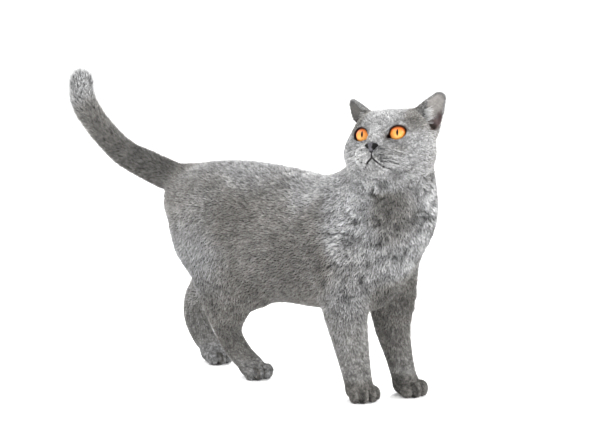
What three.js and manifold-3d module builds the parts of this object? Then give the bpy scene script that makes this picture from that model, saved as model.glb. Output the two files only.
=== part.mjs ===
// A standing British Shorthair cat, life size, looking over its right side with its tail raised behind it.
// Units are millimetres. +X is the way the body faces, +Y is the cat's left and +Z is up; the four soles
// rest on z = 0. The form is one signed field of swept ellipsoids that melt into one another. Each named
// part is the piece of that field between flat cuts, meshed on its own grid and then lightened.
import * as THREE from "three";
import { mergeVertices } from "three/addons/utils/BufferGeometryUtils.js";
import Module from "manifold-3d";

const wasm = await Module();
wasm.setup();

// ---------------------------------------------------------------- driving sizes
const SEAM = 0.3; // clear gap between neighbouring parts
const EYE_RADIUS = 12;
const EYE_AT = [27.8, 21.9, 1.4]; // left eye's centre in the head's frame: forward, left, up
const EYE_TURN = 17; // degrees that each eye looks outward
const EYE_SLANT = 14; // degrees that its outer corner is raised
const LID_THICKNESS = 2.2;

const HEAD_AT = [157, -25, 332.4];
const HEAD_YAW = -83; // from the body's heading, negative to the cat's right
const HEAD_PITCH = 16;
const HEAD_ROLL = 5.8;
const HEAD_REACH = 100; // a ball of this radius holds the head and ears

// Triangles that each piece keeps before it is cut.
const BODY_FACES = 5700;
const HEAD_FACES = 4700;
const PAW_FACES = 560;
const EAR_FACES = 560;
const NOSE_FACES = 380;

// Grid spacing where each piece is meshed.
const BODY_STEP = 4.6;
const PAW_STEP = 1.9;
const FACE_STEP = 1.35;
const SIDE_STEP = 2.4;
const BACK_STEP = 2.8;
const EAR_STEP = 1.45;
const NOSE_STEP = 0.8;
const SLOPE_STEP = 0.3; // how far apart a field is read to find its slope
const SHORTEST_EDGE = 0.05;

// How a mesh is lightened.
const MIDDLE_PULL = 0.004; // how strongly a closed edge's point is drawn to its middle
const EVENNESS = 0.05; // how much the length of an edge counts beside that
const SHARPEST_TURN = 0.4; // cosine of the most that a face may turn

// ---------------------------------------------------------------- small vector and field tools
const radians = THREE.MathUtils.degToRad;
const mix = (a, b, t) => a + (b - a) * t;
const FAR = 1e3;
const CLEAR = 40; // beyond this distance no two forms melt together

// Union of two fields that melts them together over a width k.
function melt(a, b, k) {
  const h = Math.max(k - Math.abs(a - b), 0) / k;
  return Math.min(a, b) - (h * h * k) / 4;
}

// Cuts field b out of field a, with the edge rounded over a width k.
const carve = (a, b, k) => -melt(-a, b, k);

// Distance to an ellipsoid, close to true near its surface.
function ellipsoid(x, y, z, rx, ry, rz) {
  const u = x / rx, v = y / ry, w = z / rz;
  const k0 = Math.sqrt(u * u + v * v + w * w);
  const k1 = Math.sqrt((u * u) / (rx * rx) + (v * v) / (ry * ry) + (w * w) / (rz * rz));
  return k1 < 1e-9 ? -Math.min(rx, ry, rz) : (k0 * (k0 - 1)) / k1;
}

// An ellipsoid swept from a to b, with its radii changing on the way. a and b are [x, y, z, rx, ry, rz].
function swept(p, a, b) {
  const dx = b[0] - a[0], dy = b[1] - a[1], dz = b[2] - a[2];
  const along = (p[0] - a[0]) * dx + (p[1] - a[1]) * dy + (p[2] - a[2]) * dz;
  const t = Math.min(Math.max(along / (dx * dx + dy * dy + dz * dz), 0), 1);
  return ellipsoid(
    p[0] - a[0] - dx * t, p[1] - a[1] - dy * t, p[2] - a[2] - dz * t,
    mix(a[3], b[3], t), mix(a[4], b[4], t), mix(a[5], b[5], t),
  );
}

const blob = (p, b) => ellipsoid(p[0] - b[0], p[1] - b[1], p[2] - b[2], b[3], b[4], b[5]);

// Catmull-Rom points through a few stations, so that a chain bends and swells smoothly.
function smoothed(stations, steps) {
  const made = [];
  const last = stations.length - 1;
  for (let i = 0; i < last; i++) {
    const [s0, s1, s2, s3] = [i - 1, i, i + 1, i + 2].map((j) => stations[Math.min(Math.max(j, 0), last)]);
    for (let k = 0; k < steps; k++) {
      const t = k / steps;
      made.push(s1.map((_, n) =>
        0.5 * (2 * s1[n] + (s2[n] - s0[n]) * t + (2 * s0[n] - 5 * s1[n] + 4 * s2[n] - s3[n]) * t * t +
          (3 * s1[n] - s0[n] - 3 * s2[n] + s3[n]) * t * t * t)));
    }
  }
  made.push(stations[last]);
  return made;
}

function boxOf(stations) {
  const corners = stations.flatMap(([x, y, z, rx, ry, rz]) =>
    [-1, 1].map((e) => new THREE.Vector3(x + e * rx, y + e * ry, z + e * rz)));
  return new THREE.Box3().setFromPoints(corners);
}

// A chain of swept ellipsoids. Far outside its box the distance to the box stands in for it.
function chain(p, stations) {
  stations.box ??= boxOf(stations);
  const away = stations.box.distanceToPoint(new THREE.Vector3(...p));
  if (away > CLEAR) return away;
  let d = FAR;
  for (let i = 0; i + 1 < stations.length; i++) d = Math.min(d, swept(p, stations[i], stations[i + 1]));
  return d;
}

// ---------------------------------------------------------------- trunk, neck and tail
// Each station is [x, y, z, half length, half width, half height] of the body's section there.
const TRUNK = smoothed([
  [-174, 0, 228, 42, 50, 50],
  [-134, 0, 216, 40, 62, 71],
  [-76, 0, 198, 40, 69, 92],
  [-10, 0, 195, 40, 72, 90],
  [45, 0, 192, 40, 71, 87],
  [95, 0, 196, 42, 68, 83],
  [128, 0, 210, 50, 62, 74],
], 4);
const BREAST = [150.5, 4.5, 245, 45.5, 58.5, 57];
const BRISKET = [104, 0, 155, 42, 34, 43];
const SHOULDER = [90, 48, 204, 40, 27, 58];
const FLANK = [-54, 30, 122, 26, 24, 26];
const HAUNCH = [-131, 40, 199, 50, 33, 61];
const NECK = smoothed([
  [96, 0, 242, 55, 56, 49],
  [126, -2, 267, 53, 57, 50],
  [148, -6, 294, 49, 54, 45],
  [154, -12, 320, 43, 47, 42],
], 3);
const TAIL = smoothed([
  [-172, 0, 250, 27, 21, 21],
  [-212, 0, 256.5, 22, 20.5, 21],
  [-259, 0, 269.5, 19.5, 19, 20.5],
  [-310, 0, 288, 18.3, 17.8, 18.3],
  [-359.5, 0, 327, 17.6, 17, 17.6],
  [-380, 0, 355, 18, 17.5, 18],
  [-383.5, 0, 381, 16.5, 16, 16],
], 4);

// ---------------------------------------------------------------- legs and paws
// Stations from the body down to the ankle. side is +1 on the cat's left.
const FORELEGS = {
  right: smoothed([
    [92, -40, 176, 37, 28, 34],
    [96, -37, 122, 33, 27, 29],
    [102, -34, 82, 26, 23, 25],
    [109, -32, 46, 21, 19.5, 18.5],
    [113.5, -30.5, 22, 18.5, 18.5, 15],
  ], 3),
  left: smoothed([
    [111, 42, 176, 43, 30, 38],
    [116, 40, 130, 38, 26, 32],
    [122.5, 34, 86, 26.5, 21, 25],
    [134, 33, 46, 18.5, 17.5, 18],
    [143, 31, 22, 17, 17, 15],
  ], 3),
};
const HIND_LEGS = {
  right: smoothed([
    [-112, -40, 176, 50, 32, 46],
    [-93, -40, 112, 41, 26, 34],
    [-96, -33.5, 76, 24.5, 20, 22],
    [-96, -26, 54, 19, 16, 17],
    [-83, -21, 32, 17.5, 16, 15.5],
    [-71, -17, 20, 17, 16.5, 14],
  ], 3),
  left: smoothed([
    [-138, 42, 176, 50, 30, 46],
    [-165, 42, 123, 38, 25, 35],
    [-197, 36, 87, 25.5, 20, 24],
    [-200, 31, 60, 21, 18, 18],
    [-187, 25.5, 37, 17.5, 15.5, 16],
    [-170, 24, 20, 16, 15.5, 14],
  ], 3),
};
// Each paw stands at [x, y], turned by yaw degrees from straight ahead.
const PAWS = {
  fore_right: { at: [118, -30], yaw: -24 },
  fore_left: { at: [152, 30], yaw: -8 },
  hind_right: { at: [-63, -14], yaw: -16 },
  hind_left: { at: [-160, 23.5], yaw: -6 },
};
const PAW_REACH = 45;
const PAD = [-3, 0, 11, 21, 18, 13];
const TOES = [
  [7.5, 15.4, 9, 9.5, 6.6, 10.6],
  [14.5, 6.5, 10.2, 9.8, 7, 11.8],
  [14.5, -6.5, 10.2, 9.8, 7, 11.8],
  [7.5, -15.4, 9, 9.5, 6.6, 10.6],
];

function pawField(p, paw) {
  const away = Math.sqrt((p[0] - paw.at[0]) ** 2 + (p[1] - paw.at[1]) ** 2 + p[2] ** 2) - PAW_REACH;
  if (away > CLEAR) return away;
  const c = Math.cos(radians(paw.yaw)), s = Math.sin(radians(paw.yaw));
  const x = p[0] - paw.at[0], y = p[1] - paw.at[1];
  const q = [x * c + y * s, y * c - x * s, p[2]];
  const toes = TOES.reduce((d, toe) => melt(d, blob(q, toe), 1), FAR);
  return melt(blob(q, PAD), toes, 4);
}

// ---------------------------------------------------------------- head
const headTurn = new THREE.Matrix4()
  .makeTranslation(...HEAD_AT)
  .multiply(new THREE.Matrix4().makeRotationZ(radians(HEAD_YAW)))
  .multiply(new THREE.Matrix4().makeRotationY(radians(-HEAD_PITCH)))
  .multiply(new THREE.Matrix4().makeRotationX(radians(HEAD_ROLL)));
const toHead = headTurn.clone().invert();
const inHead = (p) => new THREE.Vector3(...p).applyMatrix4(toHead).toArray();

const SKULL = [-8, 0, 5, 45, 51, 36];
const CROWN = [-4, 21, 12.5, 33, 27, 25];
const CHEEK = [3, 28, -17, 37, 31.5, 33];
const JAW = [10, 0, -31, 35, 33, 22];
const BRIDGE = [[22, 0, 16, 15, 15, 12], [50, 0, -8, 9.5, 9, 8]];
const MUZZLE = [35, 0, -25, 21, 27, 19];
const WHISKER_PAD = [42.5, 12.5, -28, 15.5, 14.5, 12.5];
const CHIN = [39, 0, -43, 13, 15, 10];
const NOSE = [[56.4, 0, -17, 4.2, 9, 3.9], [57.2, 0, -22.6, 3.3, 2.4, 3.2]];
const NOSTRIL = [[61, 4.2, -19.6, 3, 2, 1.8], [58.4, 9, -20.2, 3, 1.6, 1.1]];
const PHILTRUM = [[61, 0, -25.5, 3, 0.9, 2], [59.5, 0, -32, 3, 0.9, 2]];
const LIPS = [
  [59, 0, -32.5, 3, 1.4, 1.3],
  [54.5, 7.5, -38.5, 3, 1.5, 1.3],
  [45, 16.5, -42.2, 2.8, 2.4, 1.2],
  [38, 24, -41, 2, 2, 0.9],
];

// The opening between the lids, an oval drawn out a little at the inner corner: half its width and height.
const EYE_OPENING = [9.7, 7.6];
const INNER_CORNER = [-10.2, -1.2, 3, 1.9]; // along and up, with its half width and height

function eyeFrame(q, side) {
  const x = q[0] - EYE_AT[0], y = q[1] - side * EYE_AT[1], z = q[2] - EYE_AT[2];
  const c = Math.cos(radians(EYE_TURN)), s = Math.sin(radians(EYE_TURN)) * side;
  return [x * c + y * s, (y * c - x * s) * side, z];
}

function openingField(e) {
  const c = Math.cos(radians(EYE_SLANT)), s = Math.sin(radians(EYE_SLANT));
  const along = e[1] * c + e[2] * s, up = e[2] * c - e[1] * s;
  const [x, y, rx, ry] = INNER_CORNER;
  const oval = ellipsoid(0, along, up, 1, ...EYE_OPENING);
  const corner = ellipsoid(0, along - x, up - y, 1, rx, ry);
  return Math.max(melt(oval, corner, 3), -e[0]);
}

// Ear stations run up the ear: [across, out of the cup, up, radii of the same].
const EAR_BACK = smoothed([
  [2, 0, -10, 24.5, 15, 14],
  [2.5, 0, 6, 20, 12.5, 12],
  [2.3, -1, 20, 14.6, 8.5, 10],
  [3, -2, 33.5, 8.8, 5, 7.2],
], 3);
const EAR_CUP = smoothed([
  [0.8, 10, 0, 16.2, 13.5, 9],
  [1.3, 8, 9, 14.9, 12, 10],
  [2.2, 6, 20, 11.2, 9, 8],
  [3, 4.5, 32.5, 6.5, 6.5, 5],
], 3);
// The cup runs on down into the head, to a notch at its outer lower end.
const EAR_NOTCH = [[0, 4, 6, 15, 8, 9], [11, 3, -7, 7.5, 7, 6]];
const EAR_AT = [-8, 39, 25];
// Each ear leans outward and its cup faces outward by degrees of its own, as ears move one by one.
const EAR_LEAN = { [-1]: 37, 1: 31 };
const EAR_TURN = { [-1]: 38, 1: 30 };
const earTurn = (side) => new THREE.Matrix4()
  .makeTranslation(EAR_AT[0], side * EAR_AT[1], EAR_AT[2])
  .multiply(new THREE.Matrix4().makeRotationX(radians(-side * EAR_LEAN[side])))
  .multiply(new THREE.Matrix4().makeRotationZ(radians(side * EAR_TURN[side])));
const toEar = { [-1]: earTurn(-1).invert(), 1: earTurn(1).invert() };

function inEar(q, side) {
  const e = new THREE.Vector3(...q).applyMatrix4(toEar[side]);
  return [side * e.y, e.x, e.z];
}

function earField(q, side) {
  const r = inEar(q, side);
  return carve(chain(r, EAR_BACK), chain(r, EAR_CUP), 1.5);
}

function headField(q) {
  const m = [q[0], Math.abs(q[1]), q[2]];
  let d = melt(blob(q, SKULL), blob(m, CROWN), 8);
  d = melt(d, blob(m, CHEEK), 14);
  d = melt(d, blob(q, JAW), 14);
  d = melt(d, blob(q, MUZZLE), 10);
  d = melt(d, swept(q, ...BRIDGE), 9);
  d = melt(d, blob(m, WHISKER_PAD), 5);
  d = melt(d, blob(q, CHIN), 6);
  return d;
}

function faceField(q) {
  const m = [q[0], Math.abs(q[1]), q[2]];
  let d = headField(q);
  for (const side of [-1, 1]) {
    const e = eyeFrame(q, side);
    const ball = Math.hypot(...e) - EYE_RADIUS;
    d = melt(d, ball - LID_THICKNESS, 5);
    d = carve(d, openingField(e), 1);
  }
  d = melt(d, Math.min(earField(q, 1), earField(q, -1)), 6);
  for (const side of [-1, 1]) d = carve(d, swept(inEar(q, side), ...EAR_NOTCH), 2);
  d = carve(d, swept(m, ...PHILTRUM), 1);
  for (let i = 0; i + 1 < LIPS.length; i++) d = carve(d, swept(m, LIPS[i], LIPS[i + 1]), 1);
  return d;
}

function noseField(q) {
  const m = [q[0], Math.abs(q[1]), q[2]];
  return carve(swept(q, ...NOSE), swept(m, ...NOSTRIL), 0.8);
}

// ---------------------------------------------------------------- the whole cat
function catField(p, face = faceField) {
  const m = [p[0], Math.abs(p[1]), p[2]];
  let d = chain(p, TRUNK);
  d = melt(d, blob(p, BREAST), 30);
  d = melt(d, blob(p, BRISKET), 24);
  d = melt(d, blob(m, SHOULDER), 20);
  d = melt(d, blob(m, FLANK), 20);
  d = melt(d, blob(m, HAUNCH), 24);
  d = melt(d, chain(p, NECK), 26);
  d = melt(d, chain(p, TAIL), 16);
  let legs = FAR;
  for (const end of ["right", "left"]) {
    const fore = melt(chain(p, FORELEGS[end]), pawField(p, PAWS["fore_" + end]), 7);
    const hind = melt(chain(p, HIND_LEGS[end]), pawField(p, PAWS["hind_" + end]), 7);
    legs = Math.min(legs, fore, hind);
  }
  d = melt(d, legs, 18);
  const away = Math.hypot(p[0] - HEAD_AT[0], p[1] - HEAD_AT[1], p[2] - HEAD_AT[2]) - HEAD_REACH;
  return melt(d, away > CLEAR ? away : face(inHead(p)), 12);
}

// ---------------------------------------------------------------- meshing
const steps = (from, to, step) => {
  const n = Math.max(2, Math.ceil((to - from) / step));
  return Array.from({ length: n + 1 }, (_, i) => from + ((to - from) * i) / n);
};

const CORNERS = [[0, 0, 0], [1, 0, 0], [0, 1, 0], [1, 1, 0], [0, 0, 1], [1, 0, 1], [0, 1, 1], [1, 1, 1]];
const EDGES = [
  [0, 1], [2, 3], [4, 5], [6, 7],
  [0, 2], [1, 3], [4, 6], [5, 7],
  [0, 4], [1, 5], [2, 6], [3, 7],
];
const SIDES = [[0, 2, 6, 4], [1, 3, 7, 5], [0, 1, 5, 4], [2, 3, 7, 6], [0, 1, 3, 2], [4, 5, 7, 6]];
const edgeBetween = (a, b) => EDGES.findIndex(([c, d]) => (a === c && b === d) || (a === d && b === c));
const SIDE_EDGES = SIDES.map((side) => side.map((a, i) => edgeBetween(a, side[(i + 1) % 4])));

// Groups a cell's crossed edges into the separate sheets of surface that pass through it.
function sheets(inside) {
  const group = EDGES.map(([a, b], i) => (inside[a] !== inside[b] ? i : -1));
  const join = (a, b) => {
    const [from, to] = [group[a], group[b]];
    group.forEach((g, i) => g === from && (group[i] = to));
  };
  SIDES.forEach((side, n) => {
    const edges = SIDE_EDGES[n];
    const crossed = edges.filter((e) => group[e] >= 0);
    if (crossed.length === 2) join(...crossed);
    else if (crossed.length === 4) side.forEach((c, i) => inside[c] && join(edges[(i + 3) % 4], edges[i]));
  });
  return group;
}

// Closed mesh of field < 0 inside the grid with coordinates xs, ys, zs, one vertex for each sheet in a cell.
function meshField(field, xs, ys, zs) {
  const [nx, ny, nz] = [xs.length, ys.length, zs.length];
  const at = (i, j, k) => (k * ny + j) * nx + i;
  const value = new Float64Array(nx * ny * nz).fill(1);
  for (let k = 1; k + 1 < nz; k++)
    for (let j = 1; j + 1 < ny; j++)
      for (let i = 1; i + 1 < nx; i++) value[at(i, j, k)] = field([xs[i], ys[j], zs[k]]);
  const points = [];
  const vertexOf = new Map();
  for (let k = 0; k + 1 < nz; k++)
    for (let j = 0; j + 1 < ny; j++)
      for (let i = 0; i + 1 < nx; i++) {
        const v = CORNERS.map((c) => value[at(i + c[0], j + c[1], k + c[2])]);
        const inside = v.map((x) => x < 0);
        if (inside.every((x) => x === inside[0])) continue;
        const group = sheets(inside);
        const vertices = group.slice();
        for (const g of new Set(group)) {
          if (g < 0) continue;
          const crossings = EDGES.filter((_, e) => group[e] === g).map(([a, b]) => {
            const t = v[a] / (v[a] - v[b]);
            const ca = CORNERS[a], cb = CORNERS[b];
            return [
              mix(xs[i + ca[0]], xs[i + cb[0]], t), mix(ys[j + ca[1]], ys[j + cb[1]], t),
              mix(zs[k + ca[2]], zs[k + cb[2]], t),
            ];
          });
          group.forEach((h, e) => h === g && (vertices[e] = points.length));
          points.push([0, 1, 2].map((e) => crossings.reduce((sum, c) => sum + c[e], 0) / crossings.length));
        }
        vertexOf.set(at(i, j, k), vertices);
      }
  const faces = [];
  const quad = (corners, flip) => {
    const [p, q, r, s] = flip ? corners.reverse() : corners;
    const gap = (m, n) => Math.hypot(...points[m].map((x, e) => x - points[n][e]));
    if (gap(p, r) < gap(q, s)) faces.push([p, q, r], [p, r, s]);
    else faces.push([p, q, s], [q, r, s]);
  };
  for (let k = 0; k + 1 < nz; k++)
    for (let j = 0; j + 1 < ny; j++)
      for (let i = 0; i + 1 < nx; i++) {
        const inside = value[at(i, j, k)] < 0;
        const v = (a, b, c, edge) => vertexOf.get(at(i + a, j + b, k + c))[edge];
        if (inside !== value[at(i + 1, j, k)] < 0)
          quad([v(0, 0, 0, 0), v(0, -1, 0, 1), v(0, -1, -1, 3), v(0, 0, -1, 2)], !inside);
        if (inside !== value[at(i, j + 1, k)] < 0)
          quad([v(0, 0, 0, 4), v(0, 0, -1, 6), v(-1, 0, -1, 7), v(-1, 0, 0, 5)], !inside);
        if (inside !== value[at(i, j, k + 1)] < 0)
          quad([v(0, 0, 0, 8), v(-1, 0, 0, 9), v(-1, -1, 0, 11), v(0, -1, 0, 10)], !inside);
      }
  return { points, faces };
}

// Moves every vertex along the field's slope onto the surface, by at most `reach` each time.
function settle(mesh, field, reach) {
  for (const p of mesh.points) {
    const d = field(p);
    const slope = p.map((_, e) => {
      const ahead = p.slice(), behind = p.slice();
      ahead[e] += SLOPE_STEP;
      behind[e] -= SLOPE_STEP;
      return (field(ahead) - field(behind)) / (2 * SLOPE_STEP);
    });
    const steep = slope[0] ** 2 + slope[1] ** 2 + slope[2] ** 2;
    const move = Math.min(Math.max(-d, -reach), reach) / Math.max(Math.sqrt(steep), 0.5);
    slope.forEach((s, e) => (p[e] += (s * move) / Math.max(Math.sqrt(steep), 1e-6)));
  }
  return mesh;
}

// ---------------------------------------------------------------- lightening
// The squared distance to a set of planes, as the ten numbers of a symmetric 4 x 4 matrix.
const addPlane = (q, n, w, weight) => {
  const v = [n.x, n.y, n.z, w];
  for (let r = 0, i = 0; r < 4; r++) for (let c = r; c < 4; c++) q[i++] += v[r] * v[c] * weight;
};
const planeError = (q, x, y, z) =>
  q[0] * x * x + 2 * q[1] * x * y + 2 * q[2] * x * z + 2 * q[3] * x +
  q[4] * y * y + 2 * q[5] * y * z + 2 * q[6] * y + q[7] * z * z + 2 * q[8] * z + q[9];

// A heap of [cost, ...] entries, cheapest first.
const heap = [];
function push(entry) {
  let i = heap.push(entry) - 1;
  while (i > 0) {
    const up = (i - 1) >> 1;
    if (heap[up][0] <= heap[i][0]) break;
    [heap[up], heap[i]] = [heap[i], heap[up]];
    i = up;
  }
}
function pop() {
  const top = heap[0];
  const tail = heap.pop();
  if (heap.length) {
    heap[0] = tail;
    for (let i = 0; ; ) {
      const l = 2 * i + 1, r = l + 1;
      let least = i;
      if (l < heap.length && heap[l][0] < heap[least][0]) least = l;
      if (r < heap.length && heap[r][0] < heap[least][0]) least = r;
      if (least === i) break;
      [heap[least], heap[i]] = [heap[i], heap[least]];
      i = least;
    }
  }
  return top;
}

// Closes up the edges that the shape needs least, until about `target` faces are left.
function lighten({ points, faces }, target) {
  const at = points.map((p) => new THREE.Vector3(...p));
  const quadric = points.map(() => new Float64Array(10));
  const weight = new Float64Array(points.length);
  const around = points.map(() => new Set());
  const stamp = new Int32Array(points.length);
  const normal = ([a, b, c], moved, to) => {
    const [p, q, r] = [a, b, c].map((v) => (v === moved ? to : at[v]));
    return q.clone().sub(p).cross(r.clone().sub(p));
  };
  faces = faces.map((f) => f.slice());
  faces.forEach((face, f) => {
    const n = normal(face);
    const area = n.length() / 2;
    n.normalize();
    for (const v of face) {
      addPlane(quadric[v], n, -n.dot(at[face[0]]), area);
      weight[v] += area;
      around[v].add(f);
    }
  });
  const ring = (v) => new Set([...around[v]].flatMap((f) => faces[f]).filter((u) => u !== v));
  const offer = (a, b) => {
    const q = quadric[a].map((x, i) => x + quadric[b][i]);
    const mid = at[a].clone().add(at[b]).multiplyScalar(0.5);
    const pull = MIDDLE_PULL * (weight[a] + weight[b]);
    const m = new THREE.Matrix3().set(
      q[0] + pull, q[1], q[2],
      q[1], q[4] + pull, q[5],
      q[2], q[5], q[7] + pull,
    );
    const rhs = new THREE.Vector3(pull * mid.x - q[3], pull * mid.y - q[6], pull * mid.z - q[8]);
    const to = rhs.applyMatrix3(m.invert());
    const length = at[a].distanceToSquared(at[b]);
    if (!(to.distanceToSquared(mid) < 4 * length)) to.copy(mid);
    const cost = planeError(q, to.x, to.y, to.z) + pull * (to.distanceToSquared(mid) + EVENNESS * length);
    push([cost, a, b, to, stamp[a], stamp[b]]);
  };
  heap.length = 0;
  faces.forEach((face) => face.forEach((a, i) => a < face[(i + 1) % 3] && offer(a, face[(i + 1) % 3])));
  let count = faces.length;
  while (count > target && heap.length) {
    const [, a, b, to, stampA, stampB] = pop();
    if (stamp[a] !== stampA || stamp[b] !== stampB) continue;
    const ringA = ring(a), ringB = ring(b);
    const shared = [...ringA].filter((v) => ringB.has(v));
    if (shared.length !== 2 || shared.some((v) => around[v].size < 4)) continue;
    const folds = [a, b].some((v) => [...around[v]].some((f) => {
      if (faces[f].includes(a) && faces[f].includes(b)) return false;
      const before = normal(faces[f]), after = normal(faces[f], v, to);
      return before.dot(after) < SHARPEST_TURN * before.length() * after.length() || after.length() < 1e-3;
    }));
    if (folds) continue;
    for (const f of [...around[b]]) {
      if (faces[f].includes(a)) {
        faces[f].forEach((v) => around[v].delete(f));
        faces[f] = null;
        count--;
      } else {
        faces[f] = faces[f].map((v) => (v === b ? a : v));
        around[a].add(f);
      }
    }
    around[b].clear();
    at[a].copy(to);
    quadric[b].forEach((x, i) => (quadric[a][i] += x));
    weight[a] += weight[b];
    stamp[b] = -1;
    stamp[a]++;
    ring(a).forEach((v) => offer(a, v));
  }
  return compact({ points: at.map((p) => p.toArray()), faces: faces.filter(Boolean) });
}

// Drops the points that no face uses.
function compact({ points, faces }) {
  const used = [...new Set(faces.flat())];
  const index = new Map(used.map((v, i) => [v, i]));
  return { points: used.map((v) => points[v]), faces: faces.map((f) => f.map((v) => index.get(v))) };
}

// Closes up edges shorter than `shortest`, which cuts leave behind, onto the sharper of their two ends.
function tidied({ points, faces }, shortest) {
  const at = points.map((p) => new THREE.Vector3(...p));
  const around = points.map(() => new Set());
  faces = faces.map((f) => f.slice());
  faces.forEach((face, f) => face.forEach((v) => around[v].add(f)));
  const ring = (v) => new Set([...around[v]].flatMap((f) => faces[f]).filter((u) => u !== v));
  const blunt = (v) => {
    const sum = new THREE.Vector3();
    let total = 0;
    for (const f of around[v]) {
      const [a, b, c] = faces[f].map((u) => at[u]);
      const n = b.clone().sub(a).cross(c.clone().sub(a));
      total += n.length();
      sum.add(n);
    }
    return sum.length() / total;
  };
  for (let again = true; again; ) {
    again = false;
    for (let f = 0; f < faces.length; f++) {
      for (let i = 0; faces[f] && i < 3; i++) {
        const ends = [faces[f][i], faces[f][(i + 1) % 3]];
        if (at[ends[0]].distanceTo(at[ends[1]]) >= shortest) continue;
        const [keep, drop] = blunt(ends[0]) < blunt(ends[1]) ? ends : ends.reverse();
        const ringKeep = ring(keep), ringDrop = ring(drop);
        const shared = [...ringKeep].filter((v) => ringDrop.has(v));
        if (shared.length !== 2 || shared.some((v) => around[v].size < 4)) continue;
        for (const g of [...around[drop]]) {
          if (faces[g].includes(keep)) {
            faces[g].forEach((v) => around[v].delete(g));
            faces[g] = null;
          } else {
            faces[g] = faces[g].map((v) => (v === drop ? keep : v));
            around[keep].add(g);
          }
        }
        again = true;
      }
    }
  }
  return compact({ points, faces: faces.filter(Boolean) });
}

// ---------------------------------------------------------------- solids and cuts
function solid({ points, faces }) {
  const mesh = new wasm.Mesh({
    numProp: 3,
    vertProperties: new Float32Array(points.flat()),
    triVerts: new Uint32Array(faces.flat()),
  });
  return new wasm.Manifold(mesh);
}

function geometrySolid(geometry) {
  geometry.deleteAttribute("normal");
  geometry.deleteAttribute("uv");
  const merged = mergeVertices(geometry, 1e-4);
  const { array } = merged.attributes.position;
  return new wasm.Manifold(
    new wasm.Mesh({ numProp: 3, vertProperties: array, triVerts: new Uint32Array(merged.index.array) }),
  );
}

const largest = (body) => body.decompose().reduce((a, b) => (b.volume() > a.volume() ? b : a));

// The space behind a set of faces, each given as { at, out }. All its faces stand out by `grow`.
const REACH = 1200;
function wedge(sides, grow) {
  return sides
    .map(({ at, out }) => {
      const away = new THREE.Vector3(...out).normalize();
      const turn = new THREE.Quaternion().setFromUnitVectors(new THREE.Vector3(0, 0, 1), away);
      const box = new THREE.BoxGeometry(REACH, REACH, REACH);
      box.translate(0, 0, grow - REACH / 2);
      box.applyQuaternion(turn);
      box.translate(...at);
      return geometrySolid(box);
    })
    .reduce((a, b) => a.intersect(b));
}

// Cuts the region out of the body: [the piece inside it, what is left].
const part = (body, sides) => [
  largest(body.intersect(wedge(sides, -SEAM / 2))),
  largest(body.subtract(wedge(sides, SEAM / 2))),
];

// ---------------------------------------------------------------- where the parts meet
// Every seam is a plane, or a few of them round a wedge. `out` points away from the piece that is cut off.
const FLOOR = { at: [0, 0, 0], out: [0, 0, -1] };
const HEAD_SEAM = { at: [0, 0, -38], out: [-42, 0, -95] }; // in the head's frame
const EAR_SEAM = { at: [0, 0, 9], out: [0, 0, -1] }; // in the ear's frame
const NECK_SEAM = { at: [70, 0, 284], out: [-56, 0, -120] };
const TAIL_SEAMS = [
  { at: [-206, 0, 284], out: [48, 0, -16] },
  { at: [-286, 0, 279], out: [10, 0, -6] },
  { at: [-346, 0, 329], out: [7, 0, -7.5] },
];
const foreSeam = (side) => [
  { at: [0, 0, 92], out: [0, -side * 0.72, 0.69] },
  { at: [50, 0, 0], out: [-1, 0, 0] },
  { at: [0, 0, 0], out: [0, -side, 0] },
];
const thighSeam = (side) => [
  { at: [0, 0, 95], out: [0, -side * 0.81, 0.58] },
  { at: [-36, 0, 0], out: [1, 0, 0] },
  { at: [0, 0, 0], out: [0, -side, 0] },
];
const HOCK_SEAM = { at: [0, 0, 86], out: [0, 0, 1] };
const pawSeam = (name) => {
  const [x, y] = PAWS[name].at;
  if (name.startsWith("fore")) return { at: [x, y, 30], out: [0, 0, 1] };
  return { at: [x - 12, y, 27], out: [-0.62, 0, 0.78] };
};
const SPARE = 8; // flesh left past a seam until it is cut
// How far q lies outside the plane.
const beyond = ({ at, out }, q) =>
  ((q[0] - at[0]) * out[0] + (q[1] - at[1]) * out[1] + (q[2] - at[2]) * out[2]) / Math.hypot(...out);
const moved = ({ at, out }, turn) => ({
  at: new THREE.Vector3(...at).applyMatrix4(turn).toArray(),
  out: new THREE.Vector3(...out).transformDirection(turn).toArray(),
});

// ---------------------------------------------------------------- the parts
function bodyParts() {
  const headSeam = [moved(HEAD_SEAM, headTurn), { at: [40, 0, 0], out: [-1, 0, 0] }];
  const inHeadCut = (p) => Math.max(...headSeam.map((seam) => beyond(seam, p)));
  const field = (p) => Math.max(catField(p, headField), -inHeadCut(p) - SPARE);
  const mesh = meshField(
    field, steps(-412, 232, BODY_STEP), steps(-94, 94, BODY_STEP), steps(-8, 412, BODY_STEP),
  );
  let body = solid(lighten(settle(settle(mesh, field, 1.5), field, 1), BODY_FACES));
  const made = {};
  body = largest(body.subtract(wedge(headSeam, SEAM / 2)));
  [made.neck, body] = part(body, [NECK_SEAM]);
  let tail;
  [tail, body] = part(body, [TAIL_SEAMS[0]]);
  [tail, made.tail_root] = part(tail, [TAIL_SEAMS[1]]);
  [made.tail_tip, made.tail_middle] = part(tail, [TAIL_SEAMS[2]]);
  for (const [end, side] of [["right", -1], ["left", 1]]) {
    [made["foreleg_" + end], body] = part(body, foreSeam(side));
    made["foreleg_" + end] = part(made["foreleg_" + end], [pawSeam("fore_" + end)])[1];
    [made["thigh_" + end], body] = part(body, thighSeam(side));
    [made["hind_leg_" + end], made["thigh_" + end]] = part(made["thigh_" + end], [HOCK_SEAM]);
    made["hind_leg_" + end] = part(made["hind_leg_" + end], [pawSeam("hind_" + end)])[1];
  }
  made.torso = body;
  return made;
}

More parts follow.
